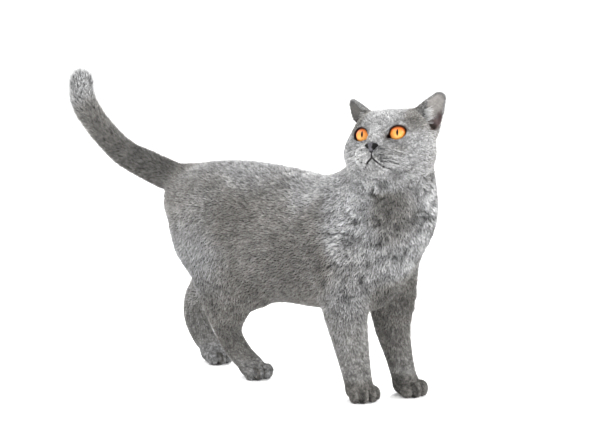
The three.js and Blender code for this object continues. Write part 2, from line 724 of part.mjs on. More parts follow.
function pawPart(name) {
  const [x, y] = PAWS[name].at;
  const mesh = meshField(
    catField, steps(x - 42, x + 34, PAW_STEP), steps(y - 30, y + 30, PAW_STEP), steps(-5, 54, PAW_STEP),
  );
  const paw = solid(lighten(settle(mesh, catField, 0.6), PAW_FACES));
  return largest(paw.intersect(wedge([pawSeam(name), FLOOR], -SEAM / 2)));
}

function headPart() {
  const field = (q) => Math.max(
    catField(new THREE.Vector3(...q).applyMatrix4(headTurn).toArray()), beyond(HEAD_SEAM, q) - SPARE,
  );
  const joined = (...runs) => runs.flatMap((run, i) => run.slice(i ? 1 : 0));
  const xs = joined(steps(-70, 6, BACK_STEP), steps(6, 66, FACE_STEP));
  const ys = joined(steps(-74, -32, SIDE_STEP), steps(-32, 32, FACE_STEP), steps(32, 74, SIDE_STEP));
  const zs = joined(steps(-84, -56, BACK_STEP), steps(-56, 16, FACE_STEP), steps(16, 72, SIDE_STEP));
  const mesh = settle(meshField(field, xs, ys, zs), field, 0.4);
  let head = solid(lighten(mesh, HEAD_FACES));
  head = largest(head.intersect(wedge([HEAD_SEAM], -SEAM / 2)));
  for (const side of [-1, 1]) {
    const earSeam = [moved(EAR_SEAM, earTurn(side)), { at: [0, 0, 0], out: [0, -side, 0] }];
    head = largest(head.subtract(wedge(earSeam, SEAM / 2)));
    head = head.subtract(geometrySolid(eyeball(side, EYE_RADIUS + SEAM, 22, 14)));
  }
  const bed = (q) => swept(q, ...NOSE) - 1.5 * SEAM;
  head = head.subtract(solid(lighten(noseMesh(bed), NOSE_FACES / 2)));
  return largest(head);
}

function earPart(side) {
  const turn = headTurn.clone().multiply(earTurn(side));
  const field = (e) => catField(new THREE.Vector3(...e).applyMatrix4(turn).toArray());
  const mesh = meshField(field, steps(-18, 20, EAR_STEP), steps(-30, 30, EAR_STEP), steps(2, 50, EAR_STEP));
  const ear = solid(lighten(settle(mesh, field, 0.4), EAR_FACES));
  return largest(ear.intersect(wedge([EAR_SEAM], -SEAM / 2)));
}

function eyeball(side, radius, across, up) {
  const ball = new THREE.SphereGeometry(radius, across, up);
  return ball.translate(EYE_AT[0], side * EYE_AT[1], EYE_AT[2]);
}

function noseMesh(field) {
  const xs = steps(46, 65, NOSE_STEP), ys = steps(-13, 13, NOSE_STEP), zs = steps(-31, -9, NOSE_STEP);
  return settle(meshField(field, xs, ys, zs), field, 0.3);
}
const nosePart = () => solid(lighten(noseMesh(noseField), NOSE_FACES));

// ---------------------------------------------------------------- scene graph
const FUR = { color: 0x85878c, roughness: 0.92, metalness: 0 };
const EYE = { color: 0xd9791f, roughness: 0.08, metalness: 0 };
const NOSE_LEATHER = { color: 0x3c3d43, roughness: 0.55, metalness: 0 };

function named(name, shape, look) {
  let geometry = shape;
  if (!shape.isBufferGeometry) {
    const { vertProperties: v, triVerts: t } = shape.getMesh();
    const points = Array.from({ length: v.length / 3 }, (_, i) => [...v.slice(3 * i, 3 * i + 3)]);
    const faces = Array.from({ length: t.length / 3 }, (_, i) => [...t.slice(3 * i, 3 * i + 3)]);
    const clean = tidied({ points, faces }, SHORTEST_EDGE);
    geometry = new THREE.BufferGeometry();
    geometry.setAttribute("position", new THREE.Float32BufferAttribute(clean.points.flat(), 3));
    geometry.setIndex(clean.faces.flat());
    geometry.computeVertexNormals();
  }
  const mesh = new THREE.Mesh(geometry, new THREE.MeshStandardMaterial(look));
  mesh.name = name;
  return mesh;
}

const cat = new THREE.Group();
for (const [name, body] of Object.entries(bodyParts())) cat.add(named(name, body, FUR));
for (const name of Object.keys(PAWS)) {
  const [end, side] = name.split("_");
  cat.add(named((end === "fore" ? "forepaw_" : "hind_paw_") + side, pawPart(name), FUR));
}

const head = new THREE.Group();
head.applyMatrix4(headTurn);
head.add(named("head", headPart(), FUR));
head.add(named("nose", nosePart(), NOSE_LEATHER));
for (const [end, side] of [["right", -1], ["left", 1]]) {
  head.add(named("eye_" + end, eyeball(side, EYE_RADIUS, 20, 13), EYE));
  const ear = named("ear_" + end, earPart(side), FUR);
  ear.applyMatrix4(earTurn(side));
  head.add(ear);
}
cat.add(head);

// The cat's box stands on the origin, centred over it.
cat.updateMatrixWorld(true);
const box = new THREE.Box3().setFromObject(cat, true);
cat.position.set(-(box.min.x + box.max.x) / 2, -(box.min.y + box.max.y) / 2, -box.min.z);

export default cat;
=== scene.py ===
"""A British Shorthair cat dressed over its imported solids: one skin, a plush coat, eyes, nose and whiskers.

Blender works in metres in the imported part's frame. The forms below are in millimetres in the cat's own
coordinates: +X is the way the body faces, +Y the cat's left, +Z up, and the soles rest on z = 0. The
head, eyes and ears have frames of their own, with X forward, Y to the left and Z up.
"""

import math

import bpy
import numpy as np
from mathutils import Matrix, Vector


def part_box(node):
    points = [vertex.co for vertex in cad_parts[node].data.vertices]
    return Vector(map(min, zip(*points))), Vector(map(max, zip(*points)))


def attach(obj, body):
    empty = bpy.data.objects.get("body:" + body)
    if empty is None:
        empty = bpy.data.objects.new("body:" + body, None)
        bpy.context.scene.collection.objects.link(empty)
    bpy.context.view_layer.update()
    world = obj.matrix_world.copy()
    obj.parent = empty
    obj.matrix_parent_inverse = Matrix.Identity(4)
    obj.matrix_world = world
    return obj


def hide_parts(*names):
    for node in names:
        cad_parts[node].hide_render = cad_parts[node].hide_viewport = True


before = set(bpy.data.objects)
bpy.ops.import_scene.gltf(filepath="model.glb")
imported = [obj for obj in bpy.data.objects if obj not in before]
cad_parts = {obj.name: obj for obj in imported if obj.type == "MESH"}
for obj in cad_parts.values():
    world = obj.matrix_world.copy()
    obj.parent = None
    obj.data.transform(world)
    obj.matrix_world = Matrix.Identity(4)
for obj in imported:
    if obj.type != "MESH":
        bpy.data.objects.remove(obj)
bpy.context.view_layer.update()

MM = 0.001
rng = np.random.default_rng(20)


# ---- small tools
def turn(axis, degrees):
    """The matrix that turns by degrees about X, Y or Z."""
    c, s = math.cos(math.radians(degrees)), math.sin(math.radians(degrees))
    i, j = {"X": (1, 2), "Y": (2, 0), "Z": (0, 1)}[axis]
    m = np.eye(3)
    m[i, i] = m[j, j] = c
    m[i, j], m[j, i] = -s, s
    return m


def unit(v):
    return v / np.maximum(np.linalg.norm(v, axis=-1, keepdims=True), 1e-9)


def columns(parts):
    return np.stack(parts, axis=1)


def distance(v):
    return np.linalg.norm(v, axis=1)


def near_to(p, centre, reach):
    """1 at the centre, fading over the reach, which may differ for X, Y and Z."""
    return np.exp(-(((p - centre) / reach) ** 2).sum(1))


def ramp(x, start, end):
    """0 before start and 1 past end, with a soft change between them."""
    t = np.clip((x - start) / (end - start), 0, 1)
    return t * t * (3 - 2 * t)


def mix(a, b, t):
    return a + (b - a) * t


def lattice(cell, seed):
    """A steady random number from 0 to 1 for each whole-numbered cell."""
    h = cell.astype(np.int64) @ np.array([73856093, 19349663, 83492791]) + seed * 2654435761
    h = (h ^ (h >> 13)) * 1274126177 & 0xFFFFFFFF
    h = (h ^ (h >> 16)) * 2246822519 & 0xFFFFFFFF
    return ((h ^ (h >> 15)) & 0xFFFFFF) / float(0x1000000)


def noise(p, size, seed):
    """Smooth noise from 0 to 1 with blots about size across. size may differ for X, Y and Z."""
    x = p / np.asarray(size, float)
    cell = np.floor(x)
    t = x - cell
    t = t * t * (3 - 2 * t)
    total = 0
    for corner in np.ndindex(2, 2, 2):
        share = np.prod(np.where(corner, t, 1 - t), axis=1)
        total = total + share * lattice(cell + corner, seed)
    return total


# ---- the cat's forms
# They match the solids: ellipsoids [x, y, z, rx, ry, rz], swept and melted together.
EYE_RADIUS = 12.0
EYE_AT = np.array([27.8, 21.9, 1.4])
EYE_TURN = 17.0
EYE_SLANT = 14.0
LID_THICKNESS = 2.2
HEAD_AT = np.array([157.0, -25.0, 332.4])
HEAD_TURN = turn("Z", -83) @ turn("Y", -16) @ turn("X", 5.8)
HEAD_REACH = 100.0
CLEAR = 40.0
FAR = 1e3


def melt(a, b, k):
    h = np.maximum(k - np.abs(a - b), 0) / k
    return np.minimum(a, b) - h * h * k / 4


def carve(a, b, k):
    return -melt(-a, b, k)


def ellipsoid(d, radii):
    u = d / radii
    k0 = np.maximum(np.sqrt((u * u).sum(-1)), 1e-6)
    k1 = np.maximum(np.sqrt(((u / radii) ** 2).sum(-1)), 1e-9)
    return k0 * (k0 - 1) / k1


def blob(p, form):
    form = np.asarray(form, float)
    return ellipsoid(p - form[:3], form[3:])


def swept(p, a, b):
    a, b = np.array([a, b], float)
    d = b[:3] - a[:3]
    t = np.clip((p - a[:3]) @ d / (d @ d), 0, 1)[:, None]
    return ellipsoid(p - a[:3] - d * t, mix(a[3:], b[3:], t))


def smoothed(stations, steps):
    """Catmull-Rom points through a few stations."""
    s = np.asarray(stations, float)
    last = len(s) - 1
    made = []
    for i in range(last):
        s0, s1, s2, s3 = (s[min(max(j, 0), last)] for j in (i - 1, i, i + 1, i + 2))
        for t in np.arange(steps) / steps:
            bend = (2 * s0 - 5 * s1 + 4 * s2 - s3) * t * t + (3 * s1 - s0 - 3 * s2 + s3) * t**3
            made.append(0.5 * (2 * s1 + (s2 - s0) * t + bend))
    return np.array(made + [s[last]])


def joined(p, stations):
    return np.min([swept(p, a, b) for a, b in zip(stations, stations[1:])], axis=0)


def chain(p, stations):
    """A chain of swept ellipsoids. Far outside its box the distance to the box stands in for it."""
    low = (stations[:, :3] - stations[:, 3:]).min(0)
    high = (stations[:, :3] + stations[:, 3:]).max(0)
    d = distance(np.maximum(np.maximum(low - p, p - high), 0))
    near = d <= CLEAR
    q = p[near]
    if len(q):
        d[near] = joined(q, stations)
    return d


TRUNK = smoothed([
    [-174, 0, 228, 42, 50, 50], [-134, 0, 216, 40, 62, 71], [-76, 0, 198, 40, 69, 92],
    [-10, 0, 195, 40, 72, 90], [45, 0, 192, 40, 71, 87], [95, 0, 196, 42, 68, 83],
    [128, 0, 210, 50, 62, 74],
], 4)
BREAST = [150.5, 4.5, 245, 45.5, 58.5, 57]
BRISKET = [104, 0, 155, 42, 34, 43]
SHOULDER = [90, 48, 204, 40, 27, 58]
FLANK = [-54, 30, 122, 26, 24, 26]
HAUNCH = [-131, 40, 199, 50, 33, 61]
NECK = smoothed([
    [96, 0, 242, 55, 56, 49], [126, -2, 267, 53, 57, 50], [148, -6, 294, 49, 54, 45],
    [154, -12, 320, 43, 47, 42],
], 3)
TAIL = smoothed([
    [-172, 0, 250, 27, 21, 21], [-212, 0, 256.5, 22, 20.5, 21], [-259, 0, 269.5, 19.5, 19, 20.5],
    [-310, 0, 288, 18.3, 17.8, 18.3], [-359.5, 0, 327, 17.6, 17, 17.6], [-380, 0, 355, 18, 17.5, 18],
    [-383.5, 0, 381, 16.5, 16, 16],
], 4)
LEGS = {
    "fore_right": smoothed([
        [92, -40, 176, 37, 28, 34], [96, -37, 122, 33, 27, 29], [102, -34, 82, 26, 23, 25],
        [109, -32, 46, 21, 19.5, 18.5], [113.5, -30.5, 22, 18.5, 18.5, 15],
    ], 3),
    "fore_left": smoothed([
        [111, 42, 176, 43, 30, 38], [116, 40, 130, 38, 26, 32], [122.5, 34, 86, 26.5, 21, 25],
        [134, 33, 46, 18.5, 17.5, 18], [143, 31, 22, 17, 17, 15],
    ], 3),
    "hind_right": smoothed([
        [-112, -40, 176, 50, 32, 46], [-93, -40, 112, 41, 26, 34], [-96, -33.5, 76, 24.5, 20, 22],
        [-96, -26, 54, 19, 16, 17], [-83, -21, 32, 17.5, 16, 15.5], [-71, -17, 20, 17, 16.5, 14],
    ], 3),
    "hind_left": smoothed([
        [-138, 42, 176, 50, 30, 46], [-165, 42, 123, 38, 25, 35], [-197, 36, 87, 25.5, 20, 24],
        [-200, 31, 60, 21, 18, 18], [-187, 25.5, 37, 17.5, 15.5, 16], [-170, 24, 20, 16, 15.5, 14],
    ], 3),
}
# Where each paw stands, and the degrees it is turned from straight ahead.
PAWS = {
    "fore_right": ((118, -30), -24),
    "fore_left": ((152, 30), -8),
    "hind_right": ((-63, -14), -16),
    "hind_left": ((-160, 23.5), -6),
}
PAW_REACH = 45.0
SOLE = 0.2
PAD = [-3, 0, 11, 21, 18, 13]
TOES = [
    [7.5, 15.4, 9, 9.5, 6.6, 10.6], [14.5, 6.5, 10.2, 9.8, 7, 11.8], [14.5, -6.5, 10.2, 9.8, 7, 11.8],
    [7.5, -15.4, 9, 9.5, 6.6, 10.6],
]

SKULL = [-8, 0, 5, 45, 51, 36]
CROWN = [-4, 21, 12.5, 33, 27, 25]
CHEEK = [3, 28, -17, 37, 31.5, 33]
JAW = [10, 0, -31, 35, 33, 22]
BRIDGE = [[22, 0, 16, 15, 15, 12], [50, 0, -8, 9.5, 9, 8]]
MUZZLE = [35, 0, -25, 21, 27, 19]
WHISKER_PAD = [42.5, 12.5, -28, 15.5, 14.5, 12.5]
CHIN = [39, 0, -43, 13, 15, 10]
NOSE = [[56.4, 0, -17, 4.2, 9, 3.9], [57.2, 0, -22.6, 3.3, 2.4, 3.2]]
NOSTRIL = [[61, 4.2, -19.6, 3, 2, 1.8], [58.4, 9, -20.2, 3, 1.6, 1.1]]
PHILTRUM = [[61, 0, -25.5, 3, 0.9, 2], [59.5, 0, -32, 3, 0.9, 2]]
LIPS = [
    [59, 0, -32.5, 3, 1.4, 1.3], [54.5, 7.5, -38.5, 3, 1.5, 1.3], [45, 16.5, -42.2, 2.8, 2.4, 1.2],
    [38, 24, -41, 2, 2, 0.9],
]
# The gap between the lids, flattened along the way the eye faces.
EYE_OPENING = [0, 0, 0, 1, 9.7, 7.6]
INNER_CORNER = [0, -10.2, -1.2, 1, 3, 1.9]

# Ear stations run up the ear: [across, out of the cup, up, radii of the same].
EAR_BACK = smoothed([
    [2, 0, -10, 24.5, 15, 14], [2.5, 0, 6, 20, 12.5, 12], [2.3, -1, 20, 14.6, 8.5, 10],
    [3, -2, 33.5, 8.8, 5, 7.2],
], 3)
EAR_CUP = smoothed([
    [0.8, 10, 0, 16.2, 13.5, 9], [1.3, 8, 9, 14.9, 12, 10], [2.2, 6, 20, 11.2, 9, 8],
    [3, 4.5, 32.5, 6.5, 6.5, 5],
], 3)
# The cup runs on down into the head, to a notch at its outer lower end.
EAR_NOTCH = [[0, 4, 6, 15, 8, 9], [11, 3, -7, 7.5, 7, 6]]
EAR_AT = np.array([-8.0, 39, 25])
# Each ear leans outward and its cup faces outward by degrees of its own, as ears move one by one.
EAR_LEAN = {-1: 37, 1: 31}
EAR_TURN = {-1: 38, 1: 30}


def mirrored(p):
    return p * [1, 0, 1] + np.abs(p) * [0, 1, 0]


def to_head(p):
    return (p - HEAD_AT) @ HEAD_TURN


def from_head(q):
    return q @ HEAD_TURN.T + HEAD_AT


def to_eye(q, side):
    e = (q - EYE_AT * [1, side, 1]) @ turn("Z", side * EYE_TURN)
    return e * [1, side, 1]


def from_eye(e, side):
    return (e * [1, side, 1]) @ turn("Z", side * EYE_TURN).T + EYE_AT * [1, side, 1]


def ear_turn(side):
    return turn("X", -side * EAR_LEAN[side]) @ turn("Z", side * EAR_TURN[side])


def to_ear(q, side):
    """Across the ear towards its outer edge, out of the cup, and up."""
    e = (q - EAR_AT * [1, side, 1]) @ ear_turn(side)
    return columns([side * e[:, 1], e[:, 0], e[:, 2]])


def from_ear(r, side):
    e = columns([r[:, 1], side * r[:, 0], r[:, 2]])
    return e @ ear_turn(side).T + EAR_AT * [1, side, 1]


def paw_frame(p, paw):
    (x, y), yaw = PAWS[paw]
    return (p - [x, y, 0]) @ turn("Z", yaw)


def paw_field(p, paw):
    (x, y), _ = PAWS[paw]
    d = distance(p - [x, y, 0]) - PAW_REACH
    near = d <= CLEAR
    q = paw_frame(p[near], paw)
    toes = blob(q, TOES[0])
    for toe in TOES[1:]:
        toes = melt(toes, blob(q, toe), 1)
    d[near] = melt(blob(q, PAD), toes, 4)
    return d


def opening_field(e):
    """The oval gap between the lids, drawn out a little at its inner corner."""
    flat = (e * [0, 1, 1]) @ turn("X", EYE_SLANT)
    return np.maximum(melt(blob(flat, EYE_OPENING), blob(flat, INNER_CORNER), 3), -e[:, 0])


def ear_field(q, side):
    r = to_ear(q, side)
    return carve(chain(r, EAR_BACK), chain(r, EAR_CUP), 1.5)


def ears_field(q):
    return np.minimum(ear_field(q, 1), ear_field(q, -1))


def lids_gap(q):
    """How far outside the nearer eye's opening a point is."""
    return np.minimum(opening_field(to_eye(q, 1)), opening_field(to_eye(q, -1)))


def lips_field(q):
    return joined(mirrored(q), LIPS)


def face_field(q):
    m = mirrored(q)
    d = blob(q, SKULL)
    for form, k in (
        (blob(m, CROWN), 8), (blob(m, CHEEK), 14), (blob(q, JAW), 14), (blob(q, MUZZLE), 10),
        (swept(q, *BRIDGE), 9), (blob(m, WHISKER_PAD), 5), (blob(q, CHIN), 6),
    ):
        d = melt(d, form, k)
    for side in (-1, 1):
        e = to_eye(q, side)
        d = melt(d, distance(e) - EYE_RADIUS - LID_THICKNESS, 5)
        d = carve(d, opening_field(e), 1)
    d = melt(d, ears_field(q), 6)
    for side in (-1, 1):
        d = carve(d, swept(to_ear(q, side), *EAR_NOTCH), 2)
    d = carve(d, swept(m, *PHILTRUM), 1)
    return carve(d, lips_field(q), 1)


def nose_field(q):
    return carve(swept(q, *NOSE), swept(mirrored(q), *NOSTRIL), 0.8)


def head_field(p):
    """The head's field near it. Far away the distance to a ball round it stands in for it."""
    q = to_head(p)
    d = distance(q) - HEAD_REACH
    near = d <= CLEAR
    d[near] = face_field(q[near])
    return d


def cat_field(p):
    m = mirrored(p)
    legs = np.min([melt(chain(p, LEGS[end]), paw_field(p, end), 7) for end in LEGS], axis=0)
    d = chain(p, TRUNK)
    for form, k in (
        (blob(p, BREAST), 30), (blob(p, BRISKET), 24), (blob(m, SHOULDER), 20), (blob(m, FLANK), 20),
        (blob(m, HAUNCH), 24), (chain(p, NECK), 26), (chain(p, TAIL), 16), (legs, 18), (head_field(p), 12),
    ):
        d = melt(d, form, k)
    return d


# Carries the cat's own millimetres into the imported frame: the eyes' solids say where the head is.
def eye_centre(side):
    low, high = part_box("eye_left" if side > 0 else "eye_right")
    return (np.array(low) + np.array(high)) / 2 / MM


SHIFT = np.mean([eye_centre(s) - from_head((EYE_AT * [1, s, 1])[None])[0] for s in (-1, 1)], axis=0)


def add_object(name, data):
    made = bpy.data.objects.new(name, data)
    bpy.context.collection.objects.link(made)
    return made


# ---- the camera at the photograph's angle
CAMERA_TARGET = np.array([0.0, 0.0, 226.5])
CAMERA_AZIMUTH = 36.0
CAMERA_ELEVATION = 8.5
CAMERA_DISTANCE = 2200.0
FOCAL_PIXELS = 1692.0
PHOTO_WIDTH = 600.0
SENSOR = 36.0


def make_camera():
    data = bpy.data.cameras.new("camera")
    data.sensor_width = SENSOR
    data.lens = FOCAL_PIXELS / PHOTO_WIDTH * SENSOR
    data.clip_end = 50
    camera = add_object("camera", data)
    az, el = math.radians(CAMERA_AZIMUTH), math.radians(CAMERA_ELEVATION)
    back = np.array([math.sin(az) * math.cos(el), -math.cos(az) * math.cos(el), math.sin(el)])
    camera.location = (CAMERA_TARGET + back * CAMERA_DISTANCE + SHIFT) * MM
    camera.rotation_euler = (math.pi / 2 - el, 0, az)
    bpy.context.scene.camera = camera


make_camera()


# ---- how deep the coat is
BODY_COAT = 5.4
TAIL_COAT = 4.6
PAW_COAT = 1.5
NAPE_COAT = 4.8
FACE_COAT = 1.5
CROWN_COAT = 2.4
EAR_COAT = 0.7
LID_COAT = 0.8
LIP_COAT = 0.7


def coat_depth(p):
    """How far the skin lies inside the tips of the coat."""
    depth = mix(PAW_COAT, BODY_COAT, ramp(p[:, 2], 14, 130))
    depth = mix(depth, TAIL_COAT, ramp(p[:, 0], -180, -230) * ramp(p[:, 2], 200, 240))
    q = to_head(p)
    at_head = ramp(distance(q), 112, 76)
    near = at_head > 0
    if not near.any():
        return depth
    h = q[near]
    face = mix(NAPE_COAT, FACE_COAT, ramp(h[:, 0], -22, 40))
    face = mix(face, CROWN_COAT, ramp(h[:, 2], 6, 26) * 0.8)
    ear = ears_field(h)
    face = mix(face, EAR_COAT, ramp(ear, 5, 1) * ramp(h[:, 2], 26, 38))
    for side in (-1, 1):
        lid = distance(to_eye(h, side)) - EYE_RADIUS
        face = mix(face, LID_COAT, ramp(lid, 5.0, 2.6))
        face = mix(face, EAR_COAT, ramp(swept(to_ear(h, side), *EAR_NOTCH), 5.5, 1.5))
    lip = np.minimum(lips_field(h), swept(mirrored(h), *PHILTRUM))
    face = mix(face, LIP_COAT, ramp(lip, 4, 0.5))
    depth[near] = mix(depth[near], face, at_head[near])
    return depth


def skin_field(p):
    return cat_field(p) + coat_depth(p)


# ---- meshing a field
def surface(field, low, high, step, place=lambda w: w, block=4, reach=2.4):
    """Points and triangles of field = 0 on a grid of the given step, one point a cell.

    place carries grid positions into the field's space. Only blocks of cells near the surface are worked out.
    """
    low = np.asarray(low, float)
    blocks = np.ceil((np.asarray(high) - low) / (step * block)).astype(int)
    shape = blocks * block + 1
    centres = (np.indices(blocks).reshape(3, -1).T + 0.5) * block * step + low
    rough = field(place(centres)).reshape(blocks)
    value = np.repeat(np.repeat(np.repeat(rough, block, 0), block, 1), block, 2)
    value = np.pad(value, (0, 1), mode="edge")
    near = np.argwhere(np.abs(rough) < reach * block * step / 2)
    nodes = np.zeros(shape, bool)
    for i, j, k in near * block:
        nodes[i:i + block + 1, j:j + block + 1, k:k + block + 1] = True
    nodes = np.argwhere(nodes)
    value[tuple(nodes.T)] = field(place(nodes * step + low))
    inside = value < 0
    cells, crossings = [], []
    for a in range(3):
        unit_step = np.eye(3, dtype=int)[a]
        b_step, c_step = np.eye(3, dtype=int)[(a + 1) % 3], np.eye(3, dtype=int)[(a + 2) % 3]
        lower = tuple(slice(0, n - 1) if i == a else slice(1, n - 1) for i, n in enumerate(shape))
        upper = tuple(slice(1, n) if i == a else slice(1, n - 1) for i, n in enumerate(shape))
        at = np.argwhere(inside[lower] != inside[upper]) + (1 - unit_step)
        v0, v1 = value[tuple(at.T)], value[tuple((at + unit_step).T)]
        crossings.append(at + unit_step * (v0 / (v0 - v1))[:, None])
        around = columns([at, at - b_step, at - b_step - c_step, at - c_step])
        cells.append(np.where((v0 < 0)[:, None, None], around, around[:, ::-1]))
    cells, crossings = np.concatenate(cells), np.concatenate(crossings)
    ids, index = np.unique(np.ravel_multi_index(cells.reshape(-1, 3).T, shape), return_inverse=True)
    count = np.bincount(index)
    spread = np.repeat(crossings, 4, axis=0)
    points = columns([np.bincount(index, spread[:, i]) / count for i in range(3)])
    points = place(points * step + low)
    a, b, c, d = index.reshape(-1, 4).T
    short = distance(points[a] - points[c]) < distance(points[b] - points[d])
    first = np.where(short[:, None], columns([a, b, c]), columns([a, b, d]))
    second = np.where(short[:, None], columns([a, c, d]), columns([b, c, d]))
    return points, np.concatenate([first, second])


def slope(field, p, h=0.25):
    here = field(p)
    return here, columns([(field(p + h * e) - here) / h for e in np.eye(3)])


def settled(field, p, reach, rounds=2):
    """Moves points along the field's slope onto its surface."""
    for _ in range(rounds):
        d, g = slope(field, p)
        steep = np.maximum(distance(g), 0.5)
        p = p - g * (np.clip(d, -reach, reach) / steep**2)[:, None]
    return p


def refined(points, tris, wanted):
    """Splits the wanted triangles in four, and their neighbours to fit."""
    edges = np.sort(tris[:, [[0, 1], [1, 2], [2, 0]]].reshape(-1, 2), axis=1)
    pairs, index = np.unique(edges, axis=0, return_inverse=True)
    index = index.reshape(-1, 3)
    split = np.zeros(len(pairs), bool)
    split[index[wanted]] = True
    middle = np.full(len(pairs), -1)
    middle[split] = len(points) + np.arange(split.sum())
    points = np.concatenate([points, points[pairs[split]].mean(1)])
    m = middle[index]
    made = [tris[(m < 0).all(1)]]
    for r in range(3):
        (a, b, c), (p, q, s) = np.roll(tris, -r, axis=1).T, np.roll(m, -r, axis=1).T
        one = (p >= 0) & (q < 0) & (s < 0)
        made += [columns(t)[one] for t in ((a, p, c), (p, b, c))]
        two = (p >= 0) & (q >= 0) & (s < 0)
        made += [columns(t)[two] for t in ((p, b, q), (a, p, q), (a, q, c))]
    (a, b, c), (p, q, s) = tris.T, m.T
    all_three = (m >= 0).all(1)
    made += [columns(t)[all_three] for t in ((a, p, s), (p, b, q), (s, q, c), (p, q, s))]
    return points, np.concatenate(made)


# Near the head the grid is finer: a ball round it is spread out before it is meshed.
SKIN_STEP = 4.5
HEAD_SHRINK = 0.38
SPREAD_REACH = 96 / HEAD_SHRINK


def from_spread(w):
    d = w - HEAD_AT
    r = np.maximum(np.linalg.norm(d, axis=1, keepdims=True), 1e-6)
    near = r * HEAD_SHRINK
    return HEAD_AT + d / r * np.where(r < SPREAD_REACH, near, r - SPREAD_REACH * (1 - HEAD_SHRINK))


def make_skin():
    points, tris = surface(skin_field, (-580, -300, -170), (420, 260, 600), SKIN_STEP, from_spread)
    points = settled(skin_field, points, 1.2)
    q = to_head(points)
    m = mirrored(q)
    face = distance(m - [46, 10, -16]) < 36
    face |= distance(m - EYE_AT) < 19
    toes = points[:, 2] < 24
    wanted = (face | toes)[tris].all(1)
    points, tris = refined(points, tris, wanted)
    q = to_head(points)
    m = mirrored(q)
    eye = (np.abs(lids_gap(q)) < 2.6) & (distance(m - EYE_AT) < 17)
    mouth = np.minimum(lips_field(m), swept(m, *PHILTRUM)) < 1.6
    wanted = (eye | mouth)[tris].all(1)
    points, tris = refined(points, tris, wanted)
    points = settled(skin_field, points, 0.5)
    points[:, 2] = np.maximum(points[:, 2], SOLE)
    return points, tris


# ---- colours of skin and coat
GREY = np.array([0.285, 0.287, 0.292])
WARM_GREY = np.array([0.297, 0.282, 0.262])
LID_DARK = np.array([0.030, 0.013, 0.010])
LIP_DARK = np.array([0.020, 0.017, 0.018])
EAR_PALE = np.array([0.335, 0.318, 0.304])
EAR_ROSE = np.array([0.150, 0.108, 0.108])
EAR_RIM = np.array([0.150, 0.145, 0.145])
EAR_NOTCH_SHADE = np.array([0.075, 0.058, 0.052])
SOLE_DARK = np.array([0.06, 0.05, 0.05])

# Painted light and shade over the coat's own lights and darks: centre, reach and the lightness there. The
# first are on both sides.
SHADES_TWICE = np.array([
    [-42, -31, 279, 34, 1.12], [-13, -60, 255, 30, 0.70], [50, -36, 270, 30, 1.30],
    [70, -69, 230, 24, 0.42], [99, -63, 263, 14, 0.95], [72, -62, 254, 16, 0.62], [78, -76, 204, 16, 0.45],
    [-99, -64, 243, 20, 0.85], [-152, -60, 231, 20, 0.60], [-118, -71, 228, 34, 0.74],
    [-58, -68, 225, 34, 0.34], [-10, -70, 222, 36, 0.55], [-20, -72, 184, 34, 0.54],
    [26, -68, 168, 24, 0.30], [-57, -61, 138, 24, 0.40], [115, -66, 236, 40, 1.28],
    [12, -60, 145, 36, 0.44], [80, -74, 177, 24, 0.36], [-77, -66, 140, 34, 0.88],
    [-25, -70, 190, 24, 0.68], [-125, -70, 175, 34, 1.12], [118, -71, 212, 20, 1.80],
    [122, -62, 270, 26, 2.20],
])
SHADES_ONCE = np.array([
    [-80, -42, 62, 20, 0.28], [159, -60, 252, 20, 0.34], [174, -48, 240, 20, 0.42],
    [173, -45, 217, 16, 0.62], [190, -28, 248, 18, 0.75], [196, 10, 247, 24, 1.75],
    [169, -46, 204, 32, 1.05], [119, -62, 150, 30, 1.06], [117, -49, 82, 38, 0.84],
    [142, 16, 126, 34, 0.42], [176, -22, 182, 20, 1.30], [141, -12, 129, 14, 0.10], [136, 25, 78, 36, 0.52],
    [150, 25, 36, 20, 0.80], [-195, 25, 66, 44, 0.80], [-80, -50, 88, 34, 0.48], [-84, -22, 34, 26, 0.66],
    [-340, 0, 328, 36, 0.52], [-303, 0, 299, 40, 0.28], [-240, 0, 262, 40, 0.24], [-385, 0, 380, 34, 1.25],
    [136, -62, 283, 15, 2.10], [160, -62, 290, 13, 1.90], [174, -52, 272, 16, 0.30],
    [198, -8, 283, 16, 1.60],
])
SHADE_PULL = 0.04
# Painted shade in folds of the coat: the line's two ends, how broad it is, and how dark.
FOLD_SHADE = [
    ([108, -56, 284], [124, -62, 277], 4.0, 0.60),
    ([124, -62, 277], [139, -64, 270], 4.0, 0.80),
    ([90, -80, 209], [85, -76, 171], 7.0, 0.30),
    ([85, -76, 171], [76, -64, 123], 7.0, 0.35),
    ([-64, -70, 172], [-43, -56, 124], 8.0, 0.25),
]
# The same on the head, in the head's own frame, painted light and shade with the face's own lights and darks:
# centre, reach each way, and how much lighter. Those left of the middle are on both sides, and those right of
# it on the right side alone.
FACE_SHADES = [
    [17, 42, 19, 15, 13, 9, -0.44], [9, 31, 35, 10, 9, 8, -0.45], [29, 38, 8, 10, 9, 8, -0.22],
    [25, 46, -34, 9, 9, 8, -0.15], [39, -30, -14, 10, 14, 12, 0.28], [54, -8, -24, 8, 7, 9, 0.60],
    [24, -6, -57, 16, 18, 9, 0.80], [19, -31, -57, 14, 12, 10, 0.50], [-22, 38, -54, 14, 14, 10, 0.35],
    [12, 8, -72, 16, 20, 8, -0.60], [42, 13, -4, 9, 6, 7, -0.34], [41, 30, -19, 13, 10, 8, -0.26],
    [26, 12, 26, 22, 16, 13, 0.42], [20, 46, -14, 22, 18, 18, 0.08], [50, 0, 2, 12, 7, 14, 0.30],
    [50, -21, -27, 12, 11, 13, 1.35], [24, 34, 24, 12, 12, 10, -0.42], [44, 22, -10, 10, 9, 7, 0.16],
    [26, 38, -40, 26, 18, 16, 0.32],
]
# Painted shade in folds of the face, in the head's frame.
FACE_FOLD_SHADE = [
    ([25, 41, -39], [25, 23, -50], 2.2, 0.45),
    ([36, 35, -24], [46, 25, -23], 1.2, 0.22),
]


